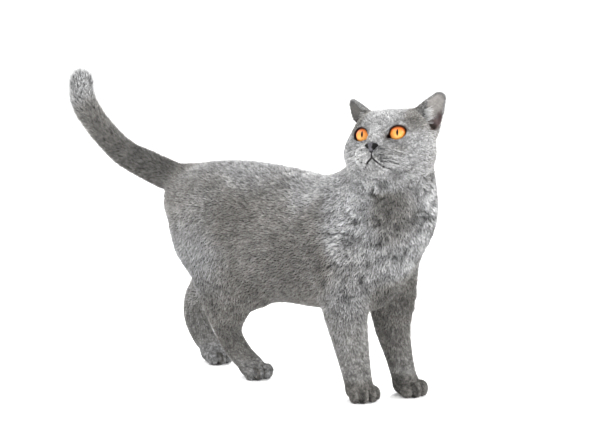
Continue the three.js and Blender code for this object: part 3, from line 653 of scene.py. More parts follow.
def near_line(p, a, b, broad):
    """1 on the line from a to b, fading over the given breadth."""
    a, b = np.array([a, b], float)
    t = np.clip((p - a) @ (b - a) / ((b - a) @ (b - a)), 0, 1)
    return near_to(p, a + (b - a) * t[:, None], broad)


# Painted light and shade with the coat's own lights and darks; high on the cat's left side their contrast is
# flattened.
def body_tone(p):
    right = mirrored(p) * [1, -1, 1]
    total, weight = SHADE_PULL, SHADE_PULL
    for at, shades in ((right, SHADES_TWICE), (p, SHADES_ONCE)):
        for *centre, reach, light in shades:
            share = near_to(at, centre, reach)
            total, weight = total + share * light, weight + share
    tone = total / weight
    unseen = ramp(p[:, 1], 5, 40) * ramp(p[:, 2], 140, 175)
    tone = mix(tone, 0.60 + 0.22 * tone, unseen)
    for a, b, broad, dark in FOLD_SHADE:
        tone = tone * (1 - dark * near_line(p, a, b, broad))
    return tone


def face_tone(q):
    m = mirrored(q)
    tone = mix(0.92, 1.05, ramp(q[:, 0], 0, 45))
    for *form, light in FACE_SHADES:
        tone += light * near_to(q if form[1] < 0 else m, form[:3], form[3:])
    for a, b, broad, dark in FACE_FOLD_SHADE:
        tone *= 1 - dark * near_line(m, a, b, broad)
    return tone


# Where wavy partings cross the coat: centre, reach and how plain they are.
PARTED = [
    ([168, -22, 238], [52, 75, 62], 1.5),
    ([110, -62, 172], [38, 34, 52], 0.9),
    ([-118, -48, 120], [44, 34, 44], 0.5),
    ([-20, 0, 200], [400, 200, 200], 0.16),
]
ROW_HEIGHT = 8.5


def partings(p):
    """Wavy rows in which the coat overlaps: from 0 at a row's lower edge to 1 tucked under the row above.

    The second value is how plain the rows are there.
    """
    row = p[:, 2] / ROW_HEIGHT + 2.2 * noise(p, (22, 22, 15), 41) + 0.8 * noise(p, (8, 8, 7), 42)
    row -= np.floor(row)
    plain = sum(much * near_to(p, at, reach) for at, reach, much in PARTED)
    return row, np.minimum(plain, 1) * ramp(noise(p, (14, 14, 9), 43), 0.25, 0.5)


def winding(p, size, seed, thin):
    """1 on thin winding lines, which run along the sides where size is larger."""
    return np.exp(-((noise(p, size, seed) - 0.5) / thin) ** 2)


def grain(p):
    """The coat's small lights and darks: its own flecks, and winding ripples and wavy partings painted as
    shade and highlight.
    """
    row, plain = partings(p)
    # Painted shade where a row tucks under the one above, and a painted highlight along its edge.
    dark = plain * ramp(row, 0.60, 0.80) * ramp(row, 1.0, 0.92)
    light = plain * np.maximum(ramp(row, 0.22, 0.0), ramp(row, 0.94, 1.0))
    bent = p + 2.5 * (noise(p, 9, 72)[:, None] - 0.5)
    at_head = ramp(distance(p - HEAD_AT), 98, 72)
    ripple = mix(winding(bent, (9, 9, 3.8), 71, 0.085), winding(bent, (6, 6, 3), 73, 0.09), at_head)
    ripple = mix(ripple, winding(bent, (15, 15, 6.5), 77, 0.12), np.minimum(1.3 * plain, 1))
    at_tail = ramp(p[:, 0], -190, -230) * ramp(p[:, 2], 200, 240)
    ripple = mix(ripple, winding(bent, (5, 5, 5), 75, 0.10), at_tail)
    patchy = ramp(noise(p, 16, 74), 0.25, 0.6) * (1 - 0.2 * at_head + 0.4 * at_tail)
    fine = mix(noise(p, 2.3, 51), noise(p, 1.7, 53), at_head) - 0.5
    small = noise(p, (6, 6, 4), 52) - 0.5
    tone = np.exp((1.45 - 0.10 * at_head) * fine + 0.35 * small + 0.08)
    # The ripples darken the coat as painted shade in its gaps.
    tone *= 1 - patchy * ripple * (0.46 + 0.44 * plain)
    return tone * (1 - 0.75 * dark) * (1 + 0.35 * light)


def toe_cleft_shade(p):
    """1 in the clefts between the toes, where the coat is darkened as painted shade."""
    dark = np.zeros(len(p))
    for paw in PAWS:
        q = paw_frame(p, paw)
        near = ramp(q[:, 0], 5, 12) * ramp(q[:, 2], 21, 15) * (distance(q) < PAW_REACH)
        for across, wide in ((0, 1.2), (11, 1.1), (-11, 1.1)):
            lean = across * (1 - 0.01 * (q[:, 0] - 10))
            dark = np.maximum(dark, near * np.exp(-((q[:, 1] - lean) / wide) ** 2))
    return dark


# The dark line of the mouth, from under the nose and along the lips, seen through the coat's depth: partly
# the lips' own dark colour and partly painted shade in the groove.
MOUTH_LINE = [
    [56, 0, -24, 9, 0.5, 0.6], [56, 0, -31, 9, 0.6, 0.8], [54, 6.9, -37.0, 8, 0.9, 0.8],
    [48, 12.0, -41.0, 7, 0.9, 0.7], [42, 16.5, -42.2, 6, 0.6, 0.4],
]


def mouth_gap(q):
    return joined(mirrored(q), MOUTH_LINE)


def eye_rim(q):
    """From 0 to 1 on the dark edge of the lids, broader above the eye, where it also stands for painted shade
    under the lid.
    """
    rim = np.zeros(len(q))
    for side in (-1, 1):
        e = to_eye(q, side)
        near = distance(e) < EYE_RADIUS + 8
        gap = opening_field(e)
        broad = 0.8 + 1.5 * ramp(e[:, 2], -1, 6) + 0.3 * ramp(e[:, 1], 3, 9)
        rim = np.maximum(rim, near * (1 - ramp(gap, broad * 0.6, broad * 1.5)))
    return rim


def inner_ear(q):
    """From 0 to 1 inside the cups of the ears, the place in the ear's frame, and the side."""
    inside, place, end = np.zeros(len(q)), np.zeros((len(q), 3)), np.zeros(len(q))
    for side in (-1, 1):
        r = to_ear(q, side)
        across, out, up = r.T
        hollow = np.minimum(chain(r, EAR_CUP), swept(r, *EAR_NOTCH))
        cup = (1 - ramp(hollow, 0.5, 2.0)) * ramp(up, -12, -6)
        wall = ramp(across, 6, 9) * ramp(across, 21, 18) * ramp(out, -4, -1) * ramp(out, 9, 6)
        cup = np.maximum(cup, wall * ramp(up, -8, -4) * ramp(up, 20, 14))
        cup *= ramp(across + 0.57 * up + 4 * (noise(r, 3, 63) - 0.5), 2.5, 6.0)
        nearer = cup > inside
        place[nearer], end[nearer] = r[nearer], side
        inside = np.maximum(inside, cup)
    return inside, place, end


# How light the inside of each ear is: the right ear's cup is darkened as painted shade.
EAR_CUP_SHADE = {-1: 0.40, 1: 1.0}


def ear_colour(place, end):
    """Pale in the middle, rosy brown down the outer wall, painted shade in the deep notch and grey round the
    rim.
    """
    across, up = place[:, 0], place[:, 2]
    streak = noise(place + 4 * noise(place, 11, 62)[:, None], (1.5, 4, 10), 61) - 0.5
    rosy = ramp(across - 0.1 * up + 5 * streak, 5.5, 8.5) * ramp(up, 23, 16)
    # Painted shade deep in the notch.
    deep = ramp(up + 5 * streak, 6, -3)
    rim = ramp(chain(place, EAR_BACK), -3.6, -1.0)
    tuft = near_to(place, [3, -4, 8], [6, 12, 5])
    colour = mix(EAR_PALE * (1 + 0.75 * tuft[:, None]), EAR_ROSE, rosy[:, None])
    colour = mix(colour, EAR_RIM, rim[:, None])
    colour = mix(colour, EAR_NOTCH_SHADE, deep[:, None])
    light = np.where(end < 0, EAR_CUP_SHADE[-1], EAR_CUP_SHADE[1]) * (1 + 0.16 * streak)
    return colour * light[:, None]


def coat_colour(p):
    q = to_head(p)
    from_centre = distance(q)
    at_head = ramp(from_centre, 82, 64)
    tone = mix(body_tone(p), face_tone(q), at_head) * mix(0.93, 1.07, noise(p, 24, 5))
    tone *= mix(1, mix(0.60, 1.25, ramp(p[:, 0], 40, 0)), ramp(p[:, 2], 34, 22))
    tone *= 1 - 0.72 * toe_cleft_shade(p)
    warm = 0.75 * ramp(tone, 1.15, 0.45) + 0.25 * noise(p, 60, 3)
    colour = mix(GREY, WARM_GREY, warm[:, None]) * tone[:, None]
    near = from_centre < HEAD_REACH
    h = q[near]
    cup, place, end = inner_ear(h)
    ear = ears_field(h)
    face = colour[near] * (1 - 0.30 * ramp(ear, 4, 0) * ramp(h[:, 2], 20, 34))[:, None]
    face = mix(face, ear_colour(place, end), cup[:, None])
    # Painted shade on the short coat round the eye openings.
    face *= (1 - 0.35 * ramp(lids_gap(h), 7, 2))[:, None]
    # The lips' dark colour, with painted shade in the groove of the mouth.
    face = mix(face, LIP_DARK, (1 - ramp(mouth_gap(h), 0.0, 0.9))[:, None])
    face = mix(face, LID_DARK, eye_rim(h)[:, None])
    colour[near] = face
    return mix(colour, SOLE_DARK, ramp(p[:, 2], 2.4, 0.8)[:, None])


# ---- materials
BLACK = 0.004


def grey(value):
    return (value, value, value, 1)


class Shader:
    """A material's nodes, made and joined in one call each."""

    def __init__(self, name, **sockets):
        self.material = bpy.data.materials.new(name)
        self.material.use_nodes = True
        self.nodes = self.material.node_tree.nodes
        self.links = self.material.node_tree.links
        self.surface = self.nodes["Principled BSDF"]
        for socket, value in sockets.items():
            self.surface.inputs[socket.replace("_", " ")].default_value = value

    def add(self, kind, settings=None, **sockets):
        node = self.nodes.new("ShaderNode" + kind)
        for key, value in (settings or {}).items():
            setattr(node, key, value)
        for socket, value in sockets.items():
            self.join(value, node.inputs[socket.replace("_", " ")])
        return node

    def join(self, value, socket):
        if isinstance(value, bpy.types.NodeSocket):
            self.links.new(value, socket)
        else:
            socket.default_value = value

    def attribute(self, name, output="Fac"):
        return self.add("Attribute", {"attribute_name": name}).outputs[output]

    def noise(self, scale, detail):
        place = self.add("TexCoord").outputs["Object"]
        return self.add("TexNoise", Vector=place, Scale=scale, Detail=detail).outputs["Fac"]

    def math(self, operation, a, b=0.0, c=0.5):
        node = self.add("Math", {"operation": operation})
        for value, socket in zip((a, b, c), node.inputs):
            self.join(value, socket)
        return node.outputs[0]

    def blend(self, a, b, factor, how="MIX"):
        node = self.add("Mix", {"data_type": "RGBA", "blend_type": how})
        self.join(factor, node.inputs["Factor"])
        self.join(a, node.inputs[6])
        self.join(b, node.inputs[7])
        return node.outputs[2]

    def ramp(self, factor, *stops):
        node = self.add("ValToRGB")
        self.join(factor, node.inputs[0])
        line = node.color_ramp
        while len(line.elements) < len(stops):
            line.elements.new(0.5)
        for element, (place, colour) in zip(line.elements, stops):
            element.position = place
            element.color = grey(colour) if np.isscalar(colour) else (*colour, 1)
        return node.outputs[0]

    def finished(self, colour, height=None, strength=0.0, deep=0.0):
        """The material, with its colour and the height of its bumps joined to the surface."""
        self.join(colour, self.surface.inputs["Base Color"])
        if height:
            bump = self.add("Bump", Strength=strength, Distance=deep, Height=height)
            self.join(bump.outputs[0], self.surface.inputs["Normal"])
        return self.material


def coat_material(name, sheen):
    """The colour at each place, painted shade at a hair's root and a paler tip, partly a painted fringe of
    light.
    """
    s = Shader(name, Roughness=0.9, Sheen_Weight=sheen, Sheen_Roughness=0.35, Specular_IOR_Level=0.15)
    depth = s.ramp(s.attribute("along"), (0.0, 0.36), (0.42, 0.74), (1.0, 1.62))
    fleck = s.ramp(s.noise(420.0, 3.0), (0.3, 0.84), (0.7, 1.14))
    colour = s.blend(s.attribute("marking", "Color"), depth, 1.0, "MULTIPLY")
    colour = s.blend(colour, fleck, 1.0, "MULTIPLY")
    return s.finished(colour, s.noise(900.0, 4.0), 0.25, 0.0006)


# The slit of the pupil, as shares of the eye's radius.
PUPIL_WIDE = 0.125
PUPIL_TALL = 0.38


def eye_material():
    """An iris painted round the pupil in the eye's own frame, under a wet clear surface, with painted lid
    shade across its top.
    """
    s = Shader(
        "eye", Roughness=0.35, Specular_IOR_Level=0.15, Coat_Weight=0.25, Coat_Roughness=0.02, Coat_IOR=1.4,
    )
    axes = s.add("SeparateXYZ", Vector=s.attribute("eye_place", "Vector")).outputs
    across, up = axes["Y"], axes["Z"]
    out = s.math("SQRT", s.math("ADD", s.math("MULTIPLY", across, across), s.math("MULTIPLY", up, up)))
    flat = s.add("CombineXYZ", X=across, Y=up, Z=s.math("MULTIPLY", out, 0.12))
    fibres = s.add("VectorMath", {"operation": "NORMALIZE"}, Vector=flat.outputs[0])
    streaks = s.add("TexNoise", Vector=fibres.outputs[0], Scale=9.0, Detail=4.0, Roughness=0.7)
    rings = s.ramp(
        out, (0.0, 1.0), (0.5, (0.97, 0.9, 0.85)), (0.7, (0.8, 0.62, 0.5)), (0.82, (0.06, 0.03, 0.03)),
    )
    # The iris darkens towards its top as painted shade from the upper lid.
    height = s.math("MULTIPLY_ADD", up, 0.7, 0.4)
    iris_with_lid_shade = s.ramp(
        height, (0.02, (0.96, 0.50, 0.14)), (0.45, (0.84, 0.29, 0.055)), (0.70, (0.48, 0.12, 0.02)),
        (0.84, (0.15, 0.045, 0.015)),
    )
    colour = s.blend(iris_with_lid_shade, rings, 1.0, "MULTIPLY")
    rays = s.ramp(streaks.outputs["Fac"], (0.3, 0.66), (0.72, 1.2))
    colour = s.blend(colour, rays, 1.0, "MULTIPLY")
    wide = s.math("MULTIPLY", s.math("ABSOLUTE", across), 1 / PUPIL_WIDE)
    tall = s.math("MULTIPLY", up, 1 / PUPIL_TALL)
    slit = s.math("ADD", wide, s.math("MULTIPLY", tall, tall))
    pupil = s.ramp(slit, (0.92, 1), (1.04, 0))
    return s.finished(s.blend(colour, grey(BLACK), pupil))


def nose_material():
    s = Shader("nose_leather", Roughness=0.5, Specular_IOR_Level=0.1)
    place = s.add("TexCoord").outputs["Object"]
    cells = s.add("TexVoronoi", {"feature": "DISTANCE_TO_EDGE"}, Vector=place, Scale=1700.0)
    colour = s.ramp(s.noise(260.0, 3.0), (0.3, (0.050, 0.050, 0.056)), (0.7, (0.105, 0.102, 0.110)))
    # Black as painted shade in the nostrils and under the nose.
    colour = s.blend(colour, grey(BLACK), s.attribute("deep"))
    return s.finished(colour, cells.outputs["Distance"], 0.5, 0.0002)


def hair_material(name, root, tip):
    """A smooth hair, from the grey at its root to the grey at its tip."""
    s = Shader(name, Roughness=0.35, Specular_IOR_Level=0.5)
    return s.finished(s.ramp(s.attribute("along"), (0.0, root), (1.0, tip)))


def floor_material():
    s = Shader("floor", Roughness=0.7)
    return s.finished(s.ramp(s.noise(1.5, 2.0), (0.3, 0.93), (0.7, 0.95)))


# ---- making pieces
# The colour attribute holds the coat's own colour together with painted light and shade.
ATTRIBUTE_KINDS = {"marking": ("FLOAT_COLOR", "color"), "eye_place": ("FLOAT_VECTOR", "vector")}


def floats(values):
    return values.astype(np.float32).ravel()


def make_piece(name, points, tris, material, slot, uv=None, **attributes):
    """A mesh object from points in the cat's millimetres, riding on the one body."""
    mesh = bpy.data.meshes.new(name)
    mesh.vertices.add(len(points))
    mesh.vertices.foreach_set("co", floats((points + SHIFT) * MM))
    mesh.loops.add(3 * len(tris))
    mesh.loops.foreach_set("vertex_index", tris.astype(np.int32).ravel())
    mesh.polygons.add(len(tris))
    mesh.polygons.foreach_set("loop_start", np.arange(0, 3 * len(tris), 3, dtype=np.int32))
    mesh.polygons.foreach_set("use_smooth", np.ones(len(tris), bool))
    for key, values in attributes.items():
        kind, holds = ATTRIBUTE_KINDS.get(key, ("FLOAT", "value"))
        if holds == "color":
            values = np.pad(values, ((0, 0), (0, 1)), constant_values=1)
        mesh.attributes.new(key, kind, "POINT").data.foreach_set(holds, floats(values))
    if uv is not None:
        mesh.uv_layers.new(name="OFBake").uv.foreach_set("vector", floats(uv[tris.ravel()]))
    mesh.update(calc_edges=True)
    mesh.materials.append(material)
    piece = add_object(name, mesh)
    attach(piece, "root")
    return piece


def vertex_normals(points, tris):
    a, b, c = (points[tris[:, i]] for i in range(3))
    face = np.cross(b - a, c - a)
    total = columns([
        np.bincount(tris.ravel(), np.repeat(face[:, i], 3), len(points)) for i in range(3)
    ])
    return unit(total)


# ---- the skin
FLESH = [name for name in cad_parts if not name.startswith(("eye", "nose"))]
COAT = coat_material("coat", 0.2)
SKIN = coat_material("skin", 0.0)
skin_points, skin_tris = make_skin()
skin_normals = vertex_normals(skin_points, skin_tris)
skin_depth = coat_depth(skin_points)
skin_bare = 1 - ramp(skin_depth, 0.4, 2.4)
skin_smooth = inner_ear(to_head(skin_points))[0]
skin_grain = mix(grain(skin_points), 1, skin_smooth)[:, None]
# The skin takes the dark root end of the coat's colour ramp, as painted shade under the coat, a little
# lighter where it is bare.
skin_piece = make_piece(
    "skin", skin_points, skin_tris, SKIN, "fur",
    along=0.15 + 0.25 * skin_bare, marking=coat_colour(skin_points) * skin_grain,
)
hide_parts(*FLESH)


# ---- the lie of the coat
def chain_lie(p, stations):
    """The way that the nearest stretch of a chain runs, and how far along the chain it is, from 0 to 1."""
    best = np.full(len(p), FAR)
    lie, along = np.zeros_like(p), np.zeros(len(p))
    for i, (a, b) in enumerate(zip(stations, stations[1:])):
        d = b[:3] - a[:3]
        t = np.clip((p - a[:3]) @ d / (d @ d), 0, 1)
        gap = distance(p - a[:3] - d * t[:, None])
        nearer = gap < best
        best = np.where(nearer, gap, best)
        lie[nearer] = unit(d)
        along[nearer] = (i + t[nearer]) / (len(stations) - 1)
    return lie, along


REGIONS = ["trunk", "neck", "tail", *LEGS, "head"]
NOSE_TIP = np.array([64.0, 0, -12])


def region_shares(p):
    """How much each region has a say at each point."""
    gaps = [np.minimum(chain(p, TRUNK), blob(p, BREAST)), chain(p, NECK), chain(p, TAIL)]
    gaps += [np.minimum(chain(p, LEGS[end]), paw_field(p, end)) for end in LEGS]
    gaps = np.array(gaps + [head_field(p)])
    return np.exp(-np.maximum(gaps - gaps.min(0), 0) / 7)


def coat_lie(p, normals, shares):
    """The way that the hairs point, along the surface."""
    front = ramp(p[:, 0], 95, 160)[:, None]
    lies = [mix(np.array([-1, 0, -0.35]), np.array([-0.15, 0, -1]), front)]
    lies.append(unit(p - from_head(np.array([[10.0, 0, 60]]))))
    lies.append(chain_lie(p, TAIL)[0])
    for end in LEGS:
        down = chain_lie(p, LEGS[end])[0] + np.array([-0.15, 0, 0])
        toes = turn("Z", PAWS[end][1]) @ np.array([1, 0, -0.5])
        lies.append(mix(toes, unit(down), ramp(p[:, 2], 10, 34)[:, None]))
    q = to_head(p)
    back = unit(q - NOSE_TIP)
    for side in (-1, 1):
        up = from_ear(np.array([[0.0, 0, 1]]), side) - from_ear(np.zeros((1, 3)), side)
        at_ear = ramp(q[:, 2], 26, 40) * (q[:, 1] * side > 0)
        back = mix(back, up, at_ear[:, None])
    lies.append(back @ HEAD_TURN.T)
    lie = sum(share[:, None] * unit(way) for share, way in zip(shares, lies))
    swirl = columns([noise(p, 34, seed) - 0.5 for seed in (11, 12, 13)])
    eddy = columns([noise(p, 9, seed) - 0.5 for seed in (14, 15, 16)])
    lie = unit(lie) + 0.55 * swirl + 0.6 * eddy
    lie -= normals * (lie * normals).sum(1, keepdims=True)
    return unit(lie)


def clump_pull(p, size):
    """From each point to the centre of its clump, one of which lies in every cube of the given size."""
    cell = np.floor(p / size)
    best, pull = np.full(len(p), FAR), np.zeros_like(p)
    for near in np.ndindex(3, 3, 3):
        c = cell + near - 1
        centre = (c + columns([lattice(c, seed) for seed in (31, 32, 33)])) * size
        d = centre - p
        gap = distance(d)
        nearer = gap < best
        best = np.where(nearer, gap, best)
        pull[nearer] = d[nearer]
    return pull


# ---- tufts
def root_places():
    """Random places on the skin, closer together where the coat is short."""
    a, b, c = (skin_points[skin_tris[:, i]] for i in range(3))
    area = distance(np.cross(b - a, c - a)) / 2
    depth = skin_depth[skin_tris].mean(1)
    room = TUFT_ROOM + TUFT_ROOM_PER_DEPTH * depth
    count = np.floor(area / room + rng.random(len(area))).astype(int)
    which = np.repeat(np.arange(len(area)), count)
    u, v = rng.random(len(which)), rng.random(len(which))
    u, v = np.where(u + v > 1, 1 - u, u), np.where(u + v > 1, 1 - v, v)
    share = columns([1 - u - v, u, v])
    corners = skin_tris[which]
    places = (skin_points[corners] * share[..., None]).sum(1)
    normals = unit((skin_normals[corners] * share[..., None]).sum(1))
    return places, normals, (skin_depth[corners] * share).sum(1)


# The skin's area for each tuft, which grows with the coat's depth.
TUFT_ROOM = 0.44
TUFT_ROOM_PER_DEPTH = 0.20
CLUMP_SIZE = 3.0
ROOT_SUNK = 0.6
# A tuft is a bent spindle: its root, a ring of three points part way along, and its tip.
TUFT_TRIS = np.array([
    corners for i, j in ((1, 2), (2, 3), (3, 1)) for corners in ([0, j, i], [i, j, 4])
])
ALONG = np.array([0, 0.42, 0.42, 0.46, 1.0])


def tuft_mesh(root, normal, lie, length, width, root_lift, tip_lift, pull):
    """Closed bent spindles: their points, one row of five for each."""
    side = np.cross(normal, lie)
    col = lambda x: np.asarray(x)[:, None]
    first = lie * col(np.cos(root_lift)) + normal * col(np.sin(root_lift))
    second = lie * col(np.cos(tip_lift)) + normal * col(np.sin(tip_lift))
    base = root - normal * ROOT_SUNK
    middle = base + first * col(length * 0.45) + pull * 0.4
    tip = middle + second * col(length * 0.55) + pull * 0.6
    half = side * col(width / 2)
    return columns([base, middle - half, middle + half, middle + normal * col(width * 0.4), tip])


def make_coat():
    root, normal, depth = root_places()
    q = to_head(root)
    nose_gap, lip_gap, eye_gap = nose_field(q), mouth_gap(q), lids_gap(q)
    keep = (root[:, 2] > 1.6) & (nose_gap > 0.8) & (eye_rim(q) < 0.5) & (inner_ear(q)[0] < 0.4)
    keep &= (lip_gap > 0.9) & (lips_field(q) > 0.3) & (eye_gap > 0)
    room = np.minimum(np.minimum(nose_gap, eye_gap - 1), lip_gap - 1.0)
    root, normal, depth, q, room = (x[keep] for x in (root, normal, depth, q, room))
    n = len(root)
    shares = region_shares(root)
    lie = coat_lie(root, normal, shares)
    row, plain = partings(root)
    tucked = plain * ramp(row, 0.55, 0.9)
    proud = plain * ramp(row, 0.5, 0.0)
    length = depth * rng.uniform(1.15, 1.6, n) * (1 - 0.45 * tucked + 0.25 * proud) + 0.7
    length *= 1 + 0.5 * shares[REGIONS.index("tail")] / shares.sum(axis=0)
    length = np.minimum(length, 0.5 + 0.75 * np.maximum(room, 0))
    width = (0.42 + 0.09 * depth) * rng.uniform(0.7, 1.3, n)
    root_lift = np.radians(rng.normal(50, 9, n) - 20 * tucked + 8 * proud)
    tip_lift = np.radians(rng.normal(30, 14, n) - 18 * tucked)
    turn_by = np.radians(rng.normal(0, 15, n))[:, None]
    lie = lie * np.cos(turn_by) + np.cross(normal, lie) * np.sin(turn_by)
    clump = clump_pull(root + lie * length[:, None] * 0.5, CLUMP_SIZE)
    clump -= normal * (clump * normal).sum(1, keepdims=True)
    clump *= 0.55 * np.minimum(depth / BODY_COAT, 1)[:, None]
    points = tuft_mesh(root, normal, lie, length, width, root_lift, tip_lift, clump)
    points[..., 2] = np.maximum(points[..., 2], SOLE)
    colour = coat_colour(root) * rng.uniform(0.88, 1.12, n)[:, None]
    light = columns([grain(points[:, i]) for i in (1, 4)])[:, [0, 0, 0, 0, 1]]
    colour = colour[:, None] * light[..., None]
    names = np.array(REGIONS, dtype=object)[shares.argmax(axis=0)]
    halves = np.where(np.where(names == "head", q[:, 1], root[:, 1]) < 0, "_right", "_left").astype(object)
    thirds = np.where(root[:, 0] < -95, "_rear", np.where(root[:, 0] < 10, "_middle", "_front"))
    at_trunk = names == "trunk"
    names[at_trunk] += halves[at_trunk] + thirds[at_trunk]
    at_head = names == "head"
    names[at_head] += halves[at_head]
    for name in sorted(set(names)):
        own = names == name
        add_coat(name, points[own], colour[own], root[own])


def unwrapped(name, root):
    """Where each root lies on an unwrap of its region, from 0 to 1 each way: round it and along it."""
    if name.startswith("head"):
        q = to_head(root) - [-8, 0, 0]
        around = np.arctan2(q[:, 2], np.abs(q[:, 1]))
        along = np.arctan2(q[:, 0], np.hypot(q[:, 1], q[:, 2]))
    elif name.startswith("trunk"):
        around = np.arctan2(root[:, 2] - 195, np.abs(root[:, 1]))
        along = root[:, 0]
    else:
        stations = {"neck": NECK, "tail": TAIL, **LEGS}[name]
        lie, along = chain_lie(root, stations)
        i = np.minimum((along * (len(stations) - 1)).astype(int), len(stations) - 2)
        t = (along * (len(stations) - 1) - i)[:, None]
        out = root - mix(stations[i, :3], stations[i + 1, :3], t)
        across = unit(np.cross(lie, [0.0, 1.0, 0.0]))
        around = np.arctan2(out[:, 1], (out * across).sum(1))
        along = along + 0.002 * (out * lie).sum(1)
    both = columns([around, along])
    low, high = both.min(0), both.max(0)
    return (both - low) / (high - low)


BAKE_PATCH = 0.003


def add_coat(name, points, colour, root):
    n = len(points)
    tris = (TUFT_TRIS[None] + 5 * np.arange(n)[:, None, None]).reshape(-1, 3)
    corner = unwrapped(name, root) * (1 - 2 * BAKE_PATCH) + BAKE_PATCH / 2
    across = np.array([0.5, 0, 1, 0.5, 0.5])
    patch = columns([across, ALONG]) * BAKE_PATCH
    uv = (corner[:, None] + patch[None]).reshape(-1, 2)
    make_piece(
        "coat_" + name, points.reshape(-1, 3), tris, COAT, "fur", uv,
        along=np.tile(ALONG, n), marking=colour.reshape(-1, 3),
    )


make_coat()


# ---- eyes
def make_eye(side):
    """A ball that bulges a little at the cornea, facing +X in the eye's frame."""
    rings, spokes = 48, 64
    angle = np.linspace(0, math.pi, rings + 1)[1:-1]
    spin = np.arange(spokes) / spokes * 2 * math.pi
    bulge = EYE_RADIUS - 0.35 + 0.75 * ramp(angle, math.radians(46), math.radians(20))
    x = (bulge * np.cos(angle))[:, None] + 0 * spin
    y = (bulge * np.sin(angle))[:, None] * np.cos(spin)
    z = (bulge * np.sin(angle))[:, None] * np.sin(spin)
    e = np.stack([x, y, z], axis=2).reshape(-1, 3)
    e = np.concatenate([e, [[bulge[0] + 0.02, 0, 0], [-bulge[-1], 0, 0]]])
    tris = []
    for i in range(rings - 2):
        for j in range(spokes):
            a, b = i * spokes + j, i * spokes + (j + 1) % spokes
            tris += [(a, a + spokes, b + spokes), (a, b + spokes, b)]
    front, back = len(e) - 2, len(e) - 1
    last = (rings - 2) * spokes
    for j in range(spokes):
        k = (j + 1) % spokes
        tris += [(front, j, k), (back, last + k, last + j)]
    tris = np.array(tris)
    if side < 0:
        tris = tris[:, ::-1]
    end = "left" if side > 0 else "right"
    piece = make_piece(
        f"eyeball_{end}", from_head(from_eye(e, side)), tris, EYE, "eye",
        eye_place=e @ turn("Z", GAZE[side]) / EYE_RADIUS,
    )
    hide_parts(f"eye_{end}")


# How far each eye looks away from the nose, beyond the way its opening faces.
GAZE = {-1: -20, 1: 0}
EYE = eye_material()
for side in (-1, 1):
    make_eye(side)


# ---- nose
def make_nose():
    points, tris = surface(nose_field, (46, -13, -31), (65, 13, -9), 0.42)
    points = settled(nose_field, points, 0.2)
    m = mirrored(points)
    # Painted shade: black in the nostrils and down the nose's lower sides, and darker under the nose.
    deep = 1 - ramp(swept(m, *NOSTRIL), 0.0, 0.9)
    deep = np.maximum(deep, ramp(m[:, 1], 2.2, 3.4) * ramp(m[:, 2], -13.4, -15.0))
    deep = np.maximum(deep, 0.75 * ramp(m[:, 2], -23.0, -24.5))
    piece = make_piece("nose_leather", from_head(points), tris, nose_material(), "nose_leather", deep=deep)
    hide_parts("nose")


make_nose()


# ---- whiskers
def hair_tube(path, radius):
    """A closed tapering tube along a path of points, ending in a point."""
    way = unit(np.gradient(path, axis=0))
    across = unit(np.cross(way, [0.1, 0.2, 1.0]))
    up = np.cross(across, way)
    n = len(path) - 1
    spin = np.arange(5) / 5 * 2 * math.pi
    ring = across[:n, None] * np.cos(spin)[:, None] + up[:n, None] * np.sin(spin)[:, None]
    taper = radius * (1 - 0.85 * np.arange(n) / n)
    rings = path[:n, None] + ring * taper[:, None, None]
    points = np.concatenate([rings.reshape(-1, 3), path[-1:], path[:1]])
    tris = []
    for i in range(n - 1):
        for j in range(5):
            a, b = i * 5 + j, i * 5 + (j + 1) % 5
            tris += [(a, b, b + 5), (a, b + 5, a + 5)]
    for j in range(5):
        k = (j + 1) % 5
        tris += [((n - 1) * 5 + j, (n - 1) * 5 + k, 5 * n), (k, j, 5 * n + 1)]
    along = np.concatenate([np.repeat(np.arange(n) / n, 5), [1, 0]])
    return points, np.array(tris), along


def make_hairs(name, paths, radius, material):
    points, tris, along = zip(*(hair_tube(path, radius) for path in paths))
    starts = np.cumsum([0] + [len(p) for p in points[:-1]])
    tris = [t + start for t, start in zip(tris, starts)]
    points, tris, along = map(np.concatenate, (points, tris, along))
    make_piece(name, points, tris, material, "fur", along=along)


WHISKER_ROWS = [-21.5, -28.6, -32.9, -36.6]
WHISKERS_IN_ROW = 4
WHISKER_RADIUS = 0.21
WHISKER_ROOT_RADIUS = 1.0
EAR_HAIR_RADIUS = 0.22
EAR_HAIRS = {-1: 18, 1: 80}


def on_face(q, gap):
    """Points moved along the head's length until they lie the gap outside the coat."""
    for _ in range(12):
        q = q - np.clip(face_field(q) - gap, -2, 2)[:, None] * [1.0, 0, 0]
    return q


def whisker_roots():
    """Where the whiskers of the left side grow, in the head's frame, row by row and outward in each."""
    return on_face(np.array([
        [52.0, 14.5 + 4.2 * place, z - 0.25 * place] for z in WHISKER_ROWS for place in range(WHISKERS_IN_ROW)
    ]), 0.0)


def whisker_root_paths():
    """The short dark hairs in which the whiskers stand, of which the right side shows every third."""
    t = np.linspace(-2.4, 2.4, 6)[:, None]
    marks = [on_face(root + t * [0, 1.0, -0.08], 0.9) for root in whisker_roots()]
    return [from_head(mark * [1, -1, 1]) for mark in marks[::3]] + [from_head(mark) for mark in marks]


def whisker_paths():
    paths = []
    for side in (-1, 1):
        for i, root in enumerate(whisker_roots()):
            row, place = divmod(i, WHISKERS_IN_ROW)
            way = unit(np.array([0.35 - 0.16 * place, 1.0, 0.02 - 0.07 * row + rng.normal(0, 0.05)]))
            length = rng.uniform(24, 36) - 2 * row
            t = np.linspace(0, 1, 9)[:, None]
            path = root - way * 2 + way * t * length + np.array([-11, 0, -7]) * t**2
            paths.append(from_head(path * [1, side, 1]))
    return paths


